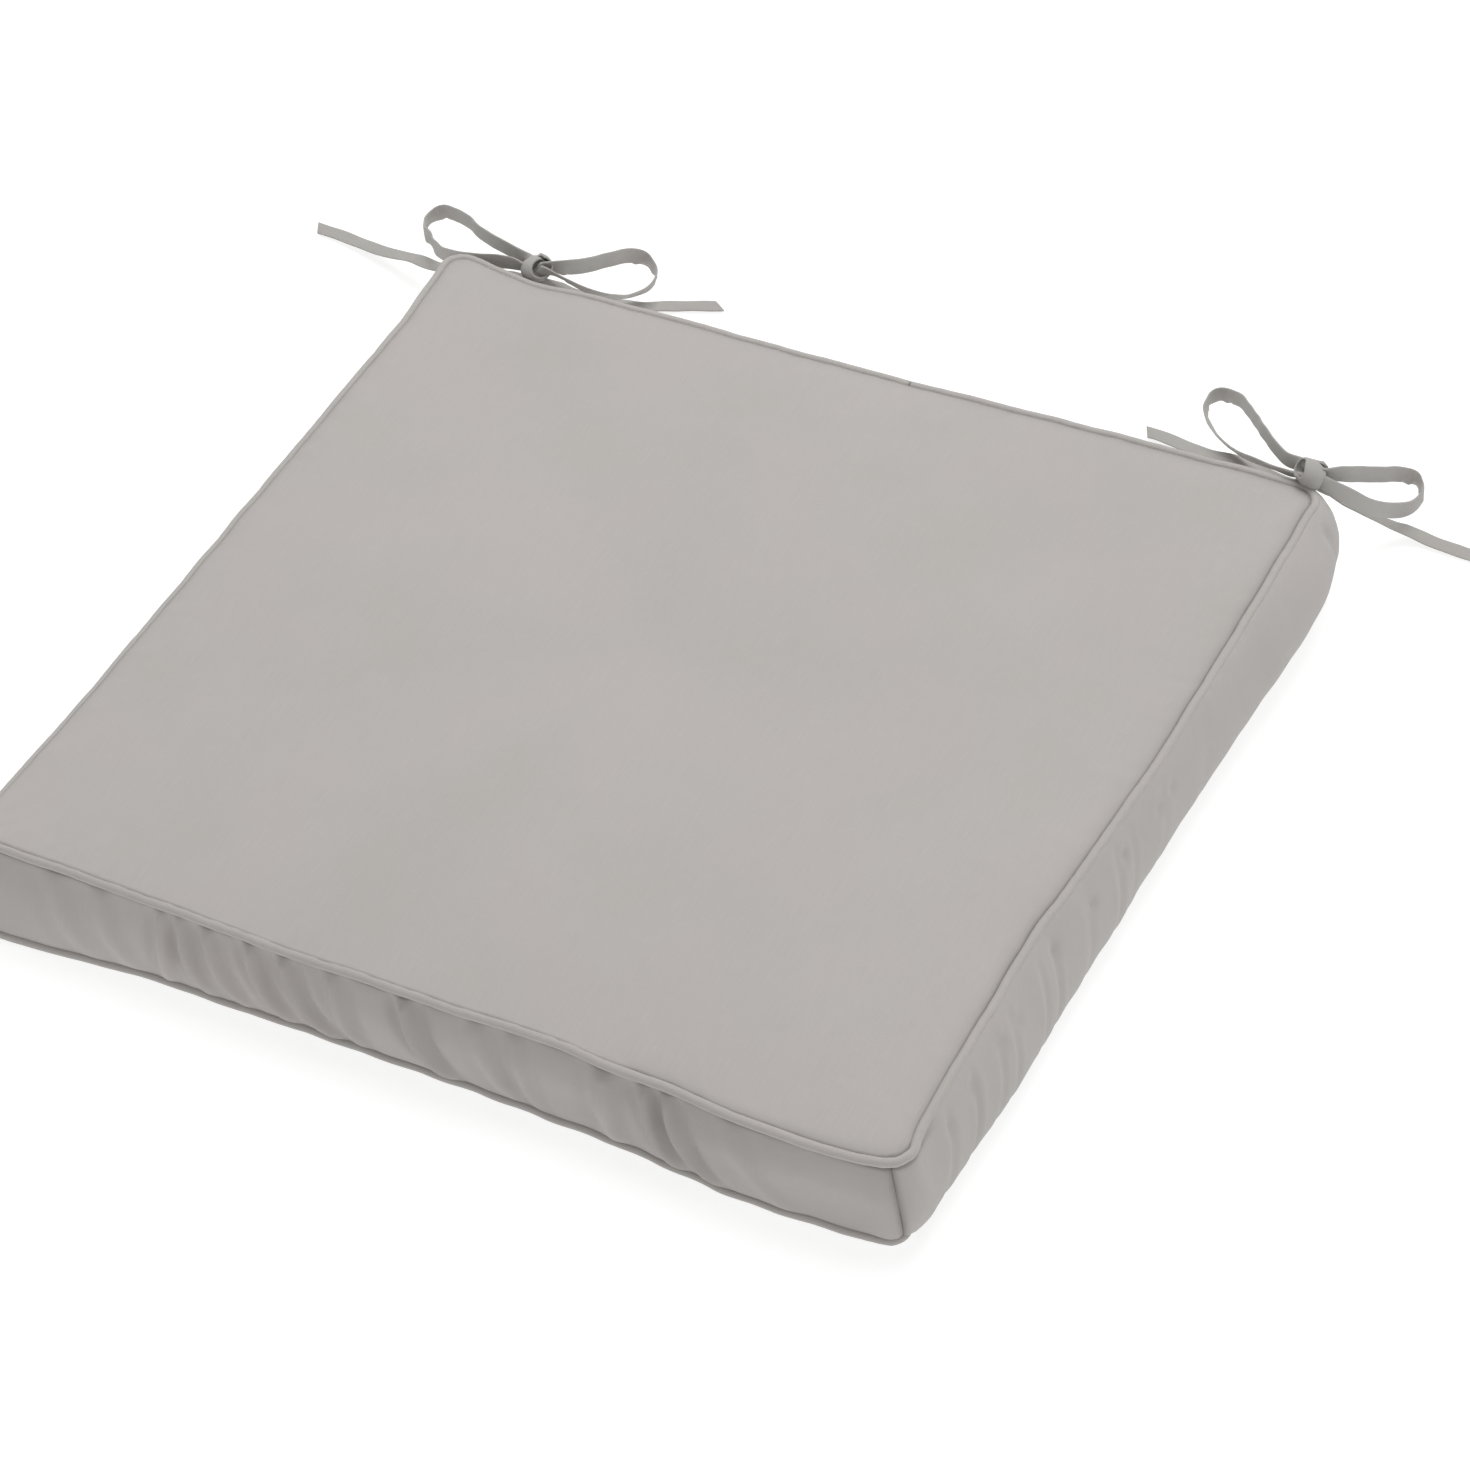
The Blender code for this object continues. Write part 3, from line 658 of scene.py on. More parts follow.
# Where a band's top edge leaves its piping, in degrees round it from level: -90 is right below it.
BAND_START = {
    "right": [(-186, -40), (-172, 10), (186, 15)],
    "back": [(186, 10), (-186, -10)],
    "left": [(185, -10), (-185, -20)],
    "front": [(-185, -95), (150, -95), (188, -85)],
}
BAND_FOLDS = {"front": FRONT_FOLDS, "right": RIGHT_FOLDS, "left": LEFT_FOLDS}
SEAM_TOP, SEAM_FOOT = -2.0 * MM, 0.5 * MM  # where the front right upright seam meets the two seam lines
SEAM_SWAY = 25 * MM  # how far from that seam the cloth leans with it
BAND_REACH = 0.9 * PIPING_RADIUS  # a band's edges, from the middle of a piping
UNDERCUT = 1.1 * MM  # how much further in a band's edge lies where it starts right below the piping
FOOT_ANGLE = math.radians(80)  # where a band leaves the bottom piping
DIVE = 0.9 * MM


def seam_dive(along, ends):
    """How far cloth dives where a band ends at an upright seam, and how far its swell is held there."""
    near = np.min([np.abs(along - end) for end in ends], axis=0)
    return DIVE * np.exp(-((near / DIVE) ** 2)), 1 - 0.35 * np.exp(-near / (4 * MM))


def band_places(start, end, side, seed, spacing=1.15 * MM, rows=46):
    """Grid of a side band: the line between its two seams, swollen outwards by sin(pi t^k)^p, then folded."""
    along = np.linspace(start, end, round((end - start) / spacing))[:, None]
    t = (1 - np.cos(np.linspace(0, math.pi, rows)))[None, :] / 2
    straight, gap = along + 0 * t, np.minimum(np.abs(along), np.abs(along - ROUND))
    along = along + (SEAM_FOOT + (SEAM_TOP - SEAM_FOOT) * t) * np.exp(-gap / SEAM_SWAY)
    along, t = np.broadcast_arrays(along, t)
    wrapped = along % ROUND
    low, out = seam(wrapped, False)
    high, _ = seam(wrapped, True)
    start_angle = np.radians(wander(wrapped, BAND_START) / MM)
    low = low + out * (BAND_REACH * math.cos(FOOT_ANGLE))
    low[..., 2] += BAND_REACH * math.sin(FOOT_ANGLE)
    under = np.clip(-start_angle * 2 / math.pi, 0, 1)
    high = high + out * (BAND_REACH * np.cos(start_angle) - UNDERCUT * under)[..., None]
    high[..., 2] += BAND_REACH * np.sin(start_angle)
    dive, held = seam_dive(straight, (start, end))
    lowness = wander(wrapped, BAND_LOW) / MM
    power = 0.8 + (wander(wrapped, BAND_CREASE) / MM - 0.8) * eased(t, 0.3, 0.8)
    arch = np.sin(math.pi * np.clip(t, 1e-6, 1 - 1e-6) ** lowness) ** power
    swell = wander(wrapped, BAND_SWELL) * held * arch
    points = low + (high - low) * t[..., None] + out * swell[..., None]
    z = points[..., 2]
    place = wrapped - along_side(side, 0.0)
    place = place if side in ("right", "front") else -place
    free = np.sin(math.pi * t) ** 0.5
    edge = np.minimum(z - BOTTOM_SEAM, TOP_SEAM - z)
    # painted shade: a dark line where the band tucks under the top piping, and one right over the bottom
    # piping
    shade = 1.5 * under * np.exp(-np.clip(TOP_SEAM - 3.9 * MM - z, 0, None) / (0.6 * MM))
    shade += np.exp(-np.clip(z - BOTTOM_SEAM - 1.7 * MM, 0, None) / (0.7 * MM))
    detail = folds(place, t, BAND_FOLDS[side]) + 0.4 * MM * dunes(along, z, seed, 30 * MM, 120 * MM) * free
    detail += 0.22 * MM * ripple(along, seed + 1, 6 * MM, 17 * MM) * np.exp(-edge / (6 * MM)) * free
    if side == "right":
        detail -= dimples(place, z, RIGHT_DIMPLES)
    points = points + out * (detail - dive)[..., None]
    return points, straight, t, shade


def to_the_strips(points, t):
    """Draws the end of a side band, behind the pad, in to the face of the back strips."""
    close = eased(np.abs(points[..., 0]), STRIP_END + 26 * MM, STRIP_END + 4 * MM) * (points[..., 1] > 0)
    share = close * np.sin(math.pi * t) ** 0.4
    points[..., 1] += share * (BACK_FACE + 0.5 * MM - points[..., 1])
    return points


def run_along(points, axis):
    """Distance over the surface from the first row or column of a grid of points."""
    steps = np.linalg.norm(np.diff(points, axis=axis), axis=-1)
    return np.cumsum(np.concatenate([0 * np.take(steps, [0], axis), steps], axis), axis)


def make_band(name, start, end, side, seed, replaced):
    points, along, t, shade = band_places(start, end, side, seed)
    if side != "front":
        points = to_the_strips(points, t)
    # painted shade: the band's dark lines at its pipings, and darker where the cloth dives at its upright
    # seams
    near = shade + seam_dive(along, (start, end))[0] / CREASE_REACH
    cloth = np.stack([run_along(points, 0) + start, run_along(points, 1), near], -1)
    made = piece(name, points, grid_faces(*along.shape), COVER, cloth)
    return wear(thicken(made), "pad", "cover_cloth", replaced)


def make_side_bands():
    turned = 1.5 * SIDE - STRIP_END  # where the right band ends, behind the pad
    make_band("right_cloth", 0.0, turned, "right", 31, "right_band")
    make_band("left_cloth", 3 * SIDE - turned, 3 * SIDE, "left", 33, "left_band")
    make_band("front_cloth", 3 * SIDE, ROUND, "front", 35, "front_band")


def make_back_strip(name, upper, replaced, rows=20, count=300, turn_in=0.95 * MM, hem=6.5 * MM):
    """A strip from its seam to the zip, where it turns in round a half circle and runs back as a hem."""
    x = np.linspace(STRIP_END, -STRIP_END, count)[:, None]
    edge, _ = seam(1.5 * SIDE - x, upper)
    seam_y, seam_z = edge[..., 1] - TUCK, edge[..., 2] + (-1.0 if upper else 1.0) * MM
    fold = ZIP_FOLD_UPPER if upper else ZIP_FOLD_LOWER
    away = 1 if upper else -1
    face = BACK_FACE + 0.25 * MM * ripple(x, 41 + upper, 30 * MM, 90 * MM)
    t = np.linspace(0, 1, rows)[None, :]
    start_z = fold + away * turn_in
    run_z = seam_z + (start_z - seam_z) * t
    run_y = seam_y + (face - seam_y) * t + 0.9 * MM * np.sin(math.pi * t) ** 0.8
    pucker = ripple(x, 43 + upper, 5 * MM, 14 * MM) * np.exp(-((t - 0.78) ** 2) / 0.02)
    run_y = run_y + 0.13 * MM * pucker
    angle = np.linspace(0, math.pi, 9)[None, 1:]
    turn_y = run_y[:, -1:] - turn_in * (1 - np.cos(angle))
    turn_z = start_z - away * turn_in * np.sin(angle) + 0 * x
    inside = np.linspace(0, 1, 6)[None, 1:]
    hem_y = turn_y[:, -1:] + 0 * inside
    hem_z = start_z + away * hem * inside + 0 * x
    y, z = np.concatenate([run_y, turn_y, hem_y], 1), np.concatenate([run_z, turn_z, hem_z], 1)
    y = y - 1.3 * MM * np.exp(-(((STRIP_END - np.abs(x)) / (1.2 * MM)) ** 2))
    points = np.stack([x + 0 * y, y, z], -1)
    across = run_along(points, 1)
    # the cloth's third number is painted shade along the strip's seam
    cloth = cloth_of(x + 0 * y, across, across)
    if upper:
        points, cloth = points[:, ::-1], cloth[:, ::-1]
    made = piece(name, points, grid_faces(*y.shape), COVER, cloth)
    return wear(thicken(made, 0.75 * MM), "pad", "cover_cloth", replaced)


# ---- Pipings and their filler cords ----

PIPING_JOIN_AT = 1.5 * SIDE - 20 * MM  # the two ends of a piping meet behind the pad
JOIN_GAP = 0.5 * MM


def ring_outline(rows, columns, radius):
    """Angles round a tube and its round outline; radius is a number or a grid."""
    angle = math.pi + np.arange(columns)[None, :] * TAU / columns + np.zeros((rows, 1))
    return angle, np.stack([np.cos(angle), np.sin(angle)], -1) * np.asarray(radius)[..., None]


def corner_nearness(along):
    """1 at the middle of each corner, falling away over a few centimetres."""
    gap = np.abs((along + SIDE / 2) % SIDE - SIDE / 2)
    return np.exp(-((gap / (11 * MM)) ** 2))


def round_the_pad(top, count):
    """Centres, outward and upward directions along a seam line, from one side of the join to the other."""
    along = PIPING_JOIN_AT + np.linspace(JOIN_GAP / 2, ROUND - JOIN_GAP / 2, count)
    centres, out = seam(along % ROUND, top)
    return along, centres, out, np.broadcast_to([0.0, 0.0, 1.0], out.shape)


def make_piping(name, top, seed, count=1500, columns=16):
    """Bias-cut tube: a circle whose radius ripples, with fine creases where it is pulled round a corner."""
    along, centres, out, up = round_the_pad(top, count)
    angle, circle = ring_outline(count, columns, PIPING_RADIUS)
    place = along[:, None] + 0 * angle
    crease = ripple(place + 1.2 * MM * np.sin(angle), seed, 2.2 * MM, 4.5 * MM) * corner_nearness(place)
    soft = ripple(place + 3 * MM * np.sin(angle + 1), seed + 1, 7 * MM, 24 * MM)
    grown = 1 + 0.045 * crease + 0.022 * soft
    girth = angle * PIPING_RADIUS
    turned = np.stack([place + girth, place - girth, 0 * place], -1) * math.sqrt(0.5)
    made = sweep(name, centres, out, up, circle * grown[..., None], PIPED, turned)
    return wear(made, "pad", "piping_cloth", "top_piping_cover" if top else "bottom_piping_cover")


def make_filler(name, top, replaced, count=1200, columns=18, lay=9 * MM):
    """Three yarns laid together: the outline has three lobes that turn once every lay."""
    along, centres, out, up = round_the_pad(top, count)
    radius = float(size_of(replaced)[0]) / 2 - SEAM_LINE
    angle, circle = ring_outline(count, columns, radius)
    twist = angle - along[:, None] * TAU / lay
    lobes = 0.80 + 0.20 * np.abs(np.cos(1.5 * twist))
    cloth = np.stack([along[:, None] + 0 * angle, twist * radius, 0 * angle], -1)
    made = sweep(name, centres, out, up, circle * lobes[..., None], COTTON, cloth)
    return wear(made, "pad", "filler_cord", replaced)


# ---- The foam ----


def make_foam(columns=240):
    """A block of rounded squares: drawn in over its edges as a circle is, with straight sides and a crowned
    top.
    """
    low, high = (np.array(corner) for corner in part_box("foam_core"))
    centre, half, edge = (low + high) / 2, (high - low) / 2, 8 * MM
    turn = np.linspace(-math.pi / 2, 0, 7)
    flat = np.linspace(0.02, 1, 28, endpoint=False)
    base = np.concatenate([flat, 1 + 0 * turn])
    inset = np.concatenate([0 * flat, edge * np.cos(turn)]) + np.concatenate([0 * flat, 0 * turn - edge])
    height = np.concatenate([0 * flat, edge * (1 + np.sin(turn))])
    side = np.linspace(0, 1, 12)[1:-1]
    rings = np.concatenate([base, 1 + 0 * side, base[::-1]])
    inset = np.concatenate([inset, 0 * side, inset[::-1]])
    tall = 2 * half[2] - CROWN
    height = np.concatenate([height, edge + (tall - 2 * edge) * side, tall - height[::-1]])
    along = np.linspace(0, ROUND, columns, endpoint=False)
    place, out = walk(along[None, :] + 0 * rings[:, None])
    scale = (half[1] - 5 * MM) / SEAM_LINE
    plan = place * (scale * rings)[:, None, None] + out * inset[:, None, None]
    square = (1 - np.abs(plan / half[1]) ** CROWN_POWER).clip(0, 1).prod(-1)
    z = low[2] + height[:, None] + (height[:, None] > tall / 2) * (CROWN - 0.6 * MM) * square
    points = np.concatenate([plan + centre[:2], z[..., None]], -1)
    made = piece("foam_block", points, capped(len(rings), columns, True), FOAM)
    return wear(made, "pad", "foam", "foam_core")


# ---- The zip ----


def pillow(name, centre, half, power, material, rings=16, columns=28):
    """A rounded block: the superellipsoid whose sines and cosines are raised to a power."""
    def shaped(value):
        return np.sign(value) * np.abs(value) ** power
    up = np.linspace(-math.pi / 2, math.pi / 2, rings + 2)[1:-1, None]
    turn = np.arange(columns)[None, :] * TAU / columns
    x, y = shaped(np.cos(up)) * shaped(np.cos(turn)), shaped(np.cos(up)) * shaped(np.sin(turn))
    points = centre + np.stack([x, y, shaped(np.sin(up)) + 0 * turn], -1) * half
    return piece(name, points, capped(rings, columns, True), material)


def make_coil(name, replaced, pitch=1.32 * MM, wire=0.27 * MM, sides=6, per_turn=14):
    """Nylon wire wound into a flat oval helix, one turn to a tooth."""
    centre, size = middle_of(replaced), size_of(replaced)
    turns = size[0] / pitch - 1
    angle = np.linspace(0, turns * TAU, round(turns * per_turn))
    wide, high = size[1] / 2 - wire, size[2] / 2 - wire
    x = centre[0] + (angle / TAU - turns / 2) * pitch
    centres = np.stack([x, centre[1] + wide * np.cos(angle), centre[2] + high * np.sin(angle)], -1)
    along = np.gradient(centres, axis=0)
    along /= np.linalg.norm(along, axis=1, keepdims=True)
    across = np.cross(along, np.stack([0 * angle, np.cos(angle), np.sin(angle)], -1))
    across /= np.linalg.norm(across, axis=1, keepdims=True)
    _, circle = ring_outline(len(angle), sides, wire)
    made = sweep(name, centres, across, np.cross(along, across), circle, NYLON, flipped=True)
    return wear(made, "pad", "coil_nylon", replaced)


def softened(name, replaced, body, width=0.22 * MM):
    """The node's own shape with its edges rounded off."""
    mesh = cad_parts[replaced].data.copy()
    shape = bmesh.new()
    shape.from_mesh(mesh)
    bmesh.ops.remove_doubles(shape, verts=shape.verts, dist=0.01 * MM)
    flat = {"angle_limit": math.radians(2), "verts": shape.verts, "edges": shape.edges}
    bmesh.ops.dissolve_limit(shape, **flat)
    shape.to_mesh(mesh)
    shape.free()
    mesh.materials.clear()
    mesh.materials.append(ENAMEL)
    made = bpy.data.objects.new(name, mesh)
    bpy.context.scene.collection.objects.link(made)
    bevel = made.modifiers.new("rounded edges", "BEVEL")
    bevel.width, bevel.segments, bevel.limit_method = width, 3, "ANGLE"
    made.data.shade_smooth()
    made.data.set_sharp_from_angle(angle=math.radians(50))
    return wear(made, body, "slider_metal", replaced)


def stitches(name, starts, ends, out, radius=0.2 * MM, rings=7, sides=6):
    """Short threads that rise in an arch between their two holes, as one piece."""
    t = np.linspace(0, 1, rings)[None, :, None]
    centres = starts[:, None] + (ends - starts)[:, None] * t
    centres = centres + out[:, None] * radius * (2.2 * np.sin(math.pi * t) - 1.0)
    along = (ends - starts) / np.linalg.norm(ends - starts, axis=1, keepdims=True)
    side = np.cross(along, out)
    angle = np.arange(sides) * TAU / sides
    c, h = np.cos(angle)[:, None], np.sin(angle)[:, None]
    width = radius * (0.55 + 0.45 * np.sin(math.pi * t))[..., None]
    points = centres[:, :, None] + (side[:, None, None] * c + out[:, None, None] * h) * width
    one = capped(rings, sides)
    faces = [[i + k * rings * sides for i in face] for k in range(len(starts)) for face in one]
    return piece(name, points, faces, THREAD)


def make_stitching(name, height, pitch=2.7 * MM, share=0.72):
    """A row of topstitching beside the zip, on the face of a back strip."""
    count = int(2 * (STRIP_END - 4 * MM) / pitch)
    x = (np.arange(count) - (count - 1) / 2) * pitch
    half = share * pitch / 2
    y = BACK_FACE + 0.55 * MM + 0 * x
    z = height + 0.12 * MM * ripple(x, 51, 20 * MM, 70 * MM)
    starts, ends = np.stack([x - half, y, z], -1), np.stack([x + half, y, z], -1)
    out = np.broadcast_to([0.0, 1.0, 0.0], starts.shape)
    return wear(stitches(name, starts, ends, out), "pad", "cover_cloth")


def make_zip():
    for side in ("upper", "lower"):
        make_coil(f"coil_{side}", f"zip_coil_{side}")
        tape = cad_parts[f"zip_tape_{side}"]
        tape.data.materials.clear()
        tape.data.materials.append(TAPE)
    for label in ("top_stop_upper", "top_stop_lower", "bottom_stop"):
        centre, size = middle_of(f"zip_{label}"), size_of(f"zip_{label}")
        wear(pillow(label, centre, size / 2, 0.35, ENAMEL), "pad", "slider_metal", f"zip_{label}")
    softened("slider_body", "zip_slider", "slider")
    softened("slider_pull", "zip_pull", "pull", 0.16 * MM)
    make_stitching("stitching_upper", ZIP_FOLD_UPPER + 4.2 * MM)
    make_stitching("stitching_lower", ZIP_FOLD_LOWER - 4.2 * MM)


# ---- The tie straps: routes in mm, with the lean of a strap's width from upright in degrees ----

TIE_WIDTH = 7 * MM
TIE = 1 * MM
ROUTES = {  # a loop's strap stands upright and the others lie flat, where no fourth number says otherwise
    "left_root": [(-163, 198.7, 43.4), (-163, 200.6, 42.6), (-163, 202.4, 43.2)],
    "left_outer_loop": [
        (-170, 209.5, 50), (-178, 214, 48), (-190, 222.5, 42.5), (-205, 235, 34), (-222, 252, 24),
        (-237.5, 265.5, 15), (-249, 272, 9), (-254, 267, 6), (-250.5, 258, 8.5), (-243.5, 248, 14),
        (-235.5, 238.5, 21), (-218.5, 219.5, 31), (-203, 211.5, 38.5), (-190, 207.5, 44),
        (-178, 205.3, 48.5), (-170, 205, 50)],
    "left_inner_loop": [
        (-156.5, 209.5, 50), (-152.5, 213, 48), (-151, 222, 42.5), (-151.5, 236, 34), (-152, 254, 24),
        (-151.5, 270, 15), (-148, 278, 8.5), (-141, 275, 6), (-137, 261, 8.5, -30), (-137, 246, 14.5, -50),
        (-138, 230.5, 23.5, -60), (-139.5, 219, 33, -60), (-143.5, 211, 41, -60), (-149, 206.5, 47, -50),
        (-156, 205, 50, -40)],
    "left_outer_tail": [
        (-169.5, 205, 42.8), (-180, 209, 38), (-199.4, 214.5, 29), (-222, 223.4, 19.5),
        (-246.1, 234, 10.5), (-266, 240.2, 4.5), (-285.4, 245.5, 1.8), (-293.9, 246.7, 1.2),
        (-301.8, 247.3, 1.2)],
    "left_inner_tail": [
        (-157.5, 206.5, 42.8), (-151, 213, 37), (-146.5, 223, 27), (-143.5, 235, 17), (-140, 245, 9),
        (-134.5, 252, 4), (-124.5, 261, 1.4), (-115, 265.2, 1.2), (-105.6, 269.3, 1.2)],
    "right_root": [(192.9, 197.3, 43.4), (193.9, 199.8, 42.8), (195, 202.2, 44.2)],
    "right_inner_loop": [
        (190, 210.5, 53.5), (184, 214, 51), (174, 226, 45), (162, 245, 35), (150, 265, 24), (138, 283, 15),
        (127, 293, 8.5), (120, 292, 6), (122.5, 279, 8.5, 10), (132, 262, 15, 30), (144, 245, 24, 40),
        (156, 230, 33.5, 42), (168, 218, 42.5, 42), (178.5, 210, 48.5, 40), (189, 206.5, 51.5, 30)],
    "right_outer_loop": [
        (203, 209.8, 53.5), (206.5, 216, 50), (209, 225, 43.5), (210.5, 238, 34), (212.5, 252, 24),
        (215.5, 265, 15), (220, 273, 8.5), (225.5, 269, 6), (226, 256, 8.5), (223.5, 243, 15),
        (220.5, 230.5, 24), (217, 219.5, 33.5), (212, 212, 42.5), (207, 207, 48.5), (203.5, 205.3, 51.5)],
    "right_inner_tail": [
        (189.5, 207, 46.3), (182, 212, 41.5), (169.8, 222, 34), (155, 233.5, 26.5), (140.7, 243.2, 17),
        (126.4, 253.3, 8.5), (112.7, 261.2, 3), (106.3, 263.7, 1.5), (100.8, 264.3, 1.2)],
    "right_outer_tail": [
        (200.5, 207, 46.6), (202.5, 213.5, 39), (207.1, 223.5, 27.5), (214.2, 233, 17), (222.1, 241, 8),
        (231.4, 244.4, 3.5), (241.7, 244.4, 1.6), (255.4, 243.9, 1.2), (266, 243.6, 1.2)],
}
LEAN = {"loop": 0, "tail": 90, "root": 90}
# A knot's yaw and tilt in degrees, and its half width in mm.
KNOT_AXIS = {"left": (-20, 30, 4.1), "right": (18, -32, 4.7)}
KNOT_START, KNOT_END = -0.9 * math.pi, 2.3 * math.pi
KNOT_RADIUS, KNOT_GROWTH, KNOT_LENGTH = 4.6 * MM, 1.5 * MM, 5.2 * MM
GATHER_REACH, FOLD_REACH = 6 * MM, 12 * MM  # how far from its knot a strap is drawn together, and folded
STRAP_STEP = 1.1 * MM


def strap_frames(places, lean):
    """Unit vectors along, across and through a strap, whose width leans from upright by the given degrees."""
    along = np.gradient(places, axis=0)
    along /= np.linalg.norm(along, axis=1, keepdims=True)
    upright = np.array([0, 0, 1.0]) - along[:, 2:] * along
    upright /= np.linalg.norm(upright, axis=1, keepdims=True)
    turn = np.radians(lean)[:, None]
    across = upright * np.cos(turn) + np.cross(along, upright) * np.sin(turn)
    return along, across, np.cross(along, across)


def blurred(values, spread_mm):
    """The values along a strap, averaged under a Gaussian."""
    reach = np.arange(-40, 41)
    kernel = np.exp(-((reach * STRAP_STEP / (spread_mm * MM)) ** 2) / 2)
    return np.convolve(np.pad(values, 40, mode="edge"), kernel / kernel.sum(), mode="valid")


def strap_outline(count):
    """Across and through places (-1..1) round a folded strap: a superellipse, grooved at its stitching."""
    angle = (np.arange(count) + 0.5) * TAU / count
    across = np.sign(np.cos(angle)) * np.abs(np.cos(angle)) ** 0.6
    through = np.sign(np.sin(angle)) * np.abs(np.sin(angle)) ** 0.35
    return across, through * (1 - 0.22 * np.exp(-(((across + 0.68) / 0.09) ** 2)))


def route(side, part):
    """Rows of x, y, z and lean of one part of a strap."""
    return [(*row[:3], *(row[3:] or (LEAN[part[-4:]],))) for row in ROUTES[f"{side}_{part}"]]


def make_strap(name, side, loop, tail, shift, seed, replaced):
    """Folded strap: from the seam through the knot, round its loop, back through and out to its cut end."""
    centre = middle_of(f"{side}_tie_knot") / MM
    going, coming = (*(centre + [0, 1.0, 0.9]), 40), (*(centre + [0, -1.0, -1.4]), 60)
    root = [(x + shift, y, z + 0.55 * shift, lean) for x, y, z, lean in route(side, "root")]
    rows = root + [going] + route(side, loop) + [coming] + route(side, tail)
    stations = through_points(np.array(rows) * [MM, MM, MM, 1], STRAP_STEP)
    places = np.stack([blurred(column, 2.0) for column in stations.T[:3]], 1)
    lean = blurred(stations[:, 3], 4)
    run = np.concatenate([[0], np.cumsum(np.linalg.norm(np.diff(places, axis=0), axis=1))])
    along, across, through = strap_frames(places, lean)
    gap = np.linalg.norm(places - centre * MM, axis=1)[:, None]
    gather, fold = np.exp(-((gap / GATHER_REACH) ** 2)), np.exp(-((gap / FOLD_REACH) ** 2))
    bend = blurred(np.linalg.norm(np.gradient(along, run, axis=0), axis=1), 4)[:, None]
    pucker = eased(bend, 30, 80) * (1 - fold)
    c, h = (part[None, :] for part in strap_outline(30))
    at = run[:, None]
    low_edge = eased(-c, 0.1, 1)
    wavy = low_edge * pucker
    width = TIE_WIDTH / 2 * (1 - 0.42 * gather) * (1 + 0.09 * wavy * ripple(at, seed, 5 * MM, 11 * MM))
    sway = 0.5 * MM * wavy * ripple(at, seed + 1, 5 * MM, 11 * MM)
    sway = sway + 0.22 * MM * (1 - gather) * ripple(at + 2 * MM * c, seed + 2, 14 * MM, 45 * MM)
    sway = sway + 1.1 * MM * fold * (np.abs(c) - 0.5) + 0.3 * MM * gather * np.sin(5 * c + at / MM)
    outline = np.stack([c * width, h * TIE / 2 * (1 + 0.7 * gather) + sway], -1)
    cloth = np.stack([at + 0 * c, c * width + (h < 0) * 20 * MM, 0 * c * at], -1)
    slant = along[:, None] * (eased(at, run[-1] - 4 * MM, run[-1]) * c * 2.0 * MM)[..., None]
    made = sweep(name, places, across, through, outline, TIES, cloth, True, slant)
    wear(made, "pad", "tie_cloth", *replaced)
    return made


def make_knot(name, side, seed, count=150):
    """A strap wound round the others: an oval spiral that grows as it turns, its edges rolled in."""
    centre = middle_of(f"{side}_tie_knot")
    yaw, tilt = (math.radians(angle) for angle in KNOT_AXIS[side][:2])
    level = np.array([-math.sin(yaw), math.cos(yaw), 0.0])
    axis = np.array([math.cos(yaw) * math.cos(tilt), math.sin(yaw) * math.cos(tilt), math.sin(tilt)])
    up = np.cross(axis, level)
    angle = np.linspace(KNOT_START, KNOT_END, count)[:, None]
    share = (angle - angle[0]) / (angle[-1] - angle[0])
    grow = KNOT_RADIUS + KNOT_GROWTH * share
    out = level * np.cos(angle) + up * np.sin(angle)
    places = centre + out * grow * (1 + 0.08 * np.cos(2 * angle)) + axis * (KNOT_LENGTH * (share - 0.5))
    along = np.gradient(places, axis=0)
    along /= np.linalg.norm(along, axis=1, keepdims=True)
    across = axis - along * (along @ axis)[:, None]
    across /= np.linalg.norm(across, axis=1, keepdims=True)
    through = np.cross(along, across)
    through *= np.sign((through * out).sum(1, keepdims=True))
    c, h = (part[None, :] for part in strap_outline(30))
    narrow = 1 - 0.35 * np.exp(-share * 9) - 0.35 * np.exp(-(1 - share) * 9)
    width = KNOT_AXIS[side][2] * MM * narrow * (1 + 0.05 * ripple(angle * 4 * MM, seed, 6 * MM, 14 * MM))
    roll = -1.1 * MM * c**2 + 0.2 * MM * np.sin(6.5 * c + 1.5 * np.sin(angle)) * (1 - c**2)
    outline = np.stack([c * width, h * 0.62 * MM + roll], -1)
    cloth = np.stack([angle * 4 * MM + 0 * c, c * width + (h < 0) * 20 * MM, 0 * c * angle], -1)
    made = sweep(name, places, across, through, outline, TIES, cloth, True)
    return wear(made, "pad", "tie_cloth", f"{side}_tie_knot")


def make_ties():
    for side, seed in (("left", 60), ("right", 80)):
        knot = make_knot(f"{side}_knot", side, seed)
        outer = [f"{side}_tie_{part}" for part in ("outer_loop", "inner_tail", "root")]
        inner = [f"{side}_tie_{part}" for part in ("inner_loop", "outer_tail")]
        make_strap(f"{side}_outer_strap", side, "outer_loop", "inner_tail", -1.0, seed + 2, outer)
        make_strap(f"{side}_inner_strap", side, "inner_loop", "outer_tail", 1.0, seed + 6, inner)


# ---- Floor, light and camera ----


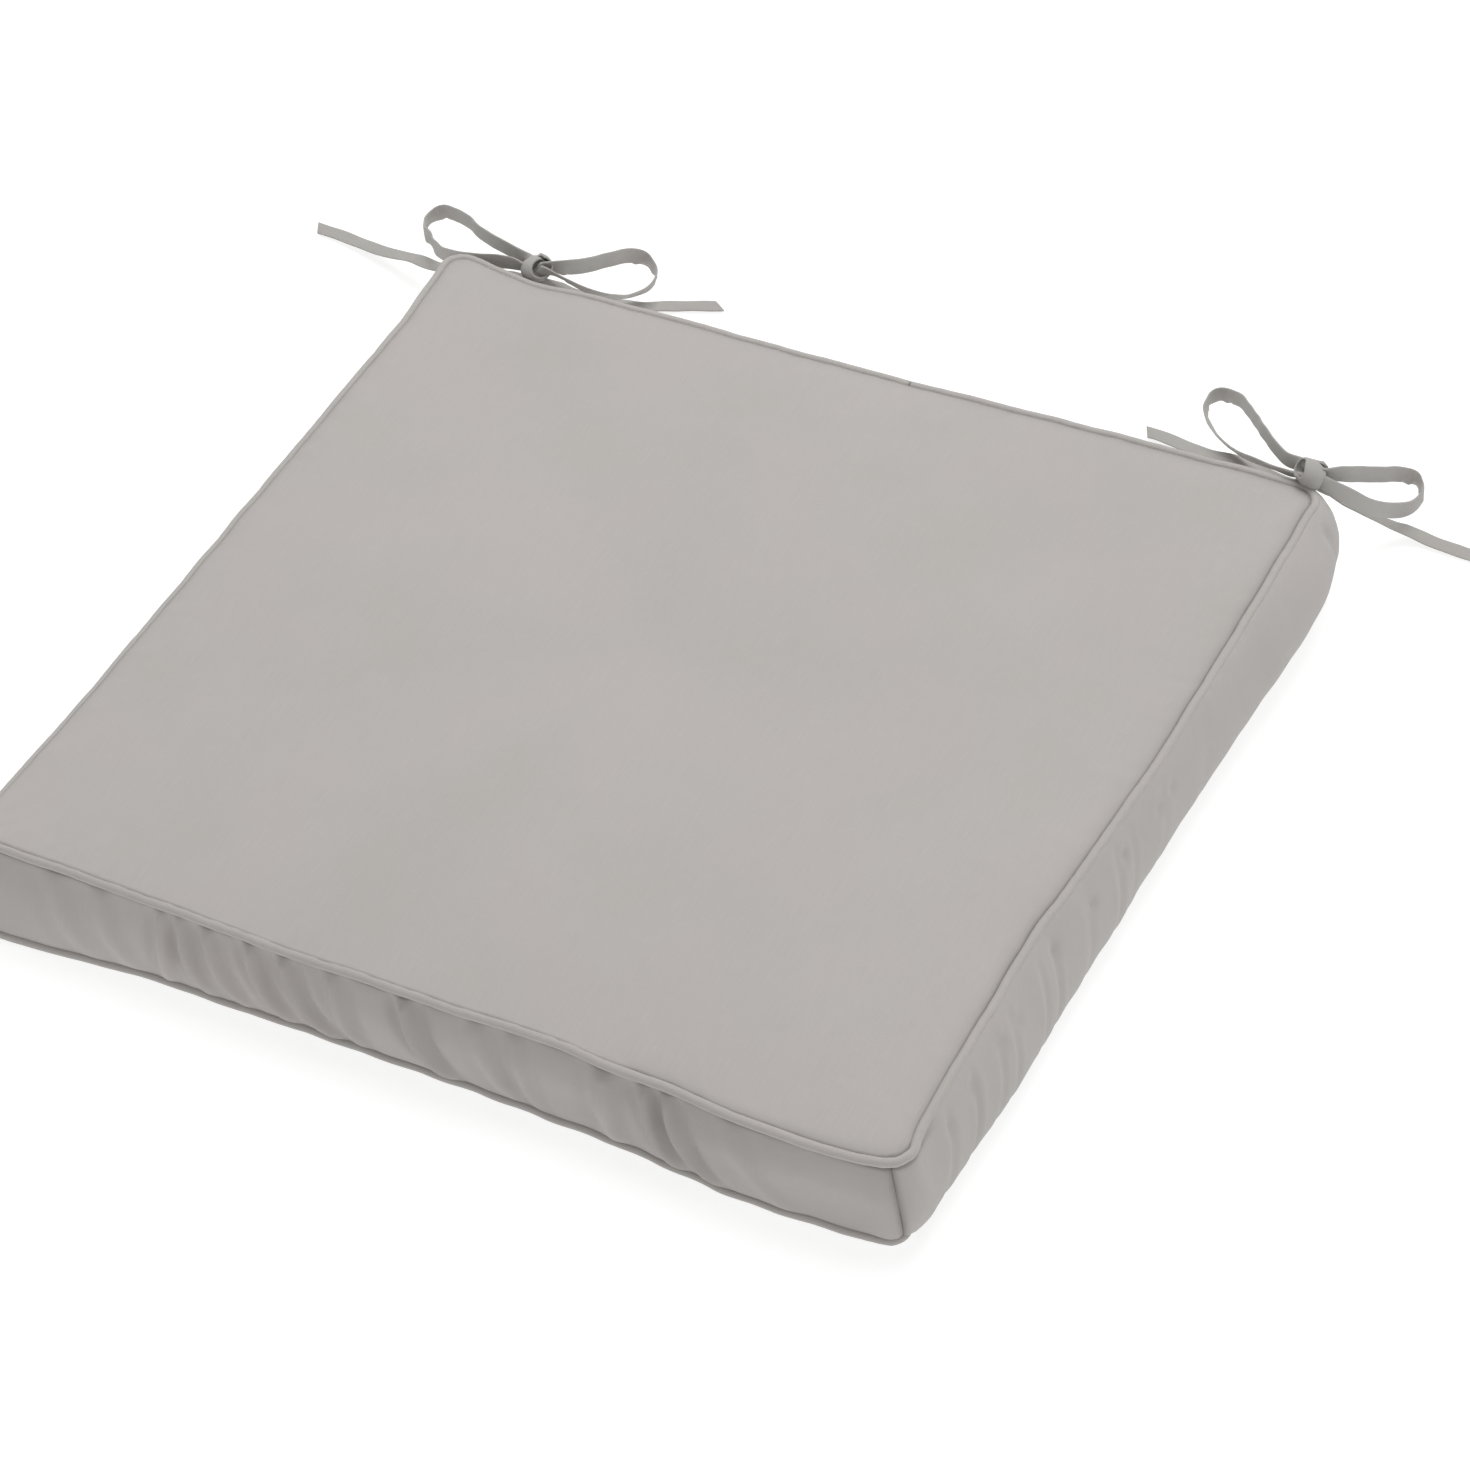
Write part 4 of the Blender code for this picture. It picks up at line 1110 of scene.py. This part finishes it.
def make_floor():
    half, drop = 4.0, -0.4 * MM
    corners = np.array([(x * half, y * half, drop) for x, y in ((-1, -1), (1, -1), (1, 1), (-1, 1))])
    material, tree, shader = start_material("pale_floor", 0.9)
    surface = {
        "Base Color": (0.40, 0.40, 0.40, 1.0),
        "Specular IOR Level": 0.0,
        "Emission Color": (1.0, 1.0, 1.0, 1.0),
        "Emission Strength": 0.75,
    }
    link(tree, shader, surface)
    piece("floor", corners, [[0, 1, 2, 3]], material)


def make_lamp(name, place, size, watts):
    """A square soft box aimed at the pad's middle."""
    light = bpy.data.lights.new(name, "AREA")
    light.shape, light.size, light.energy = "SQUARE", size, watts
    lamp = bpy.data.objects.new(name, light)
    bpy.context.scene.collection.objects.link(lamp)
    lamp.location = place
    away = -np.array(place)
    pitch = math.acos(-away[2] / np.linalg.norm(away))
    lamp.rotation_euler = (pitch, 0, math.atan2(away[1], away[0]) - math.pi / 2)


def make_light():
    world = bpy.data.worlds.new("studio")
    world.use_nodes = True
    world.node_tree.nodes["Background"].inputs["Color"].default_value = (1.0, 1.0, 1.0, 1.0)
    world.node_tree.nodes["Background"].inputs["Strength"].default_value = 0.46
    bpy.context.scene.world = world
    make_lamp("overhead", (-0.2, 0.8, 2.4), 2.0, 43.0)
    make_lamp("side", (1.9, -0.5, 1.3), 0.8, 4.0)
    bpy.context.scene.view_settings.view_transform = "Standard"


def make_camera():
    lens = bpy.data.cameras.new("camera")
    lens.lens, lens.sensor_width, lens.sensor_fit = 118.0, 36.0, "HORIZONTAL"
    lens.clip_start, lens.clip_end = 0.1, 20.0
    camera = bpy.data.objects.new("camera", lens)
    bpy.context.scene.collection.objects.link(camera)
    camera.location = (0.696, -1.239, 1.323)
    camera.rotation_euler = tuple(math.radians(angle) for angle in (47.14, 1.99, 26.25))
    bpy.context.scene.camera = camera


def main():
    make_camera()
    make_ties()
    make_top()
    make_bottom()
    make_side_bands()
    make_back_strip("back_upper_cloth", True, "back_band_upper")
    make_back_strip("back_lower_cloth", False, "back_band_lower")
    make_piping("top_piping", True, 71)
    make_piping("bottom_piping", False, 75)
    make_filler("top_filler", True, "top_piping_cord")
    make_filler("bottom_filler", False, "bottom_piping_cord")
    make_foam()
    make_zip()
    make_floor()
    make_light()


main()
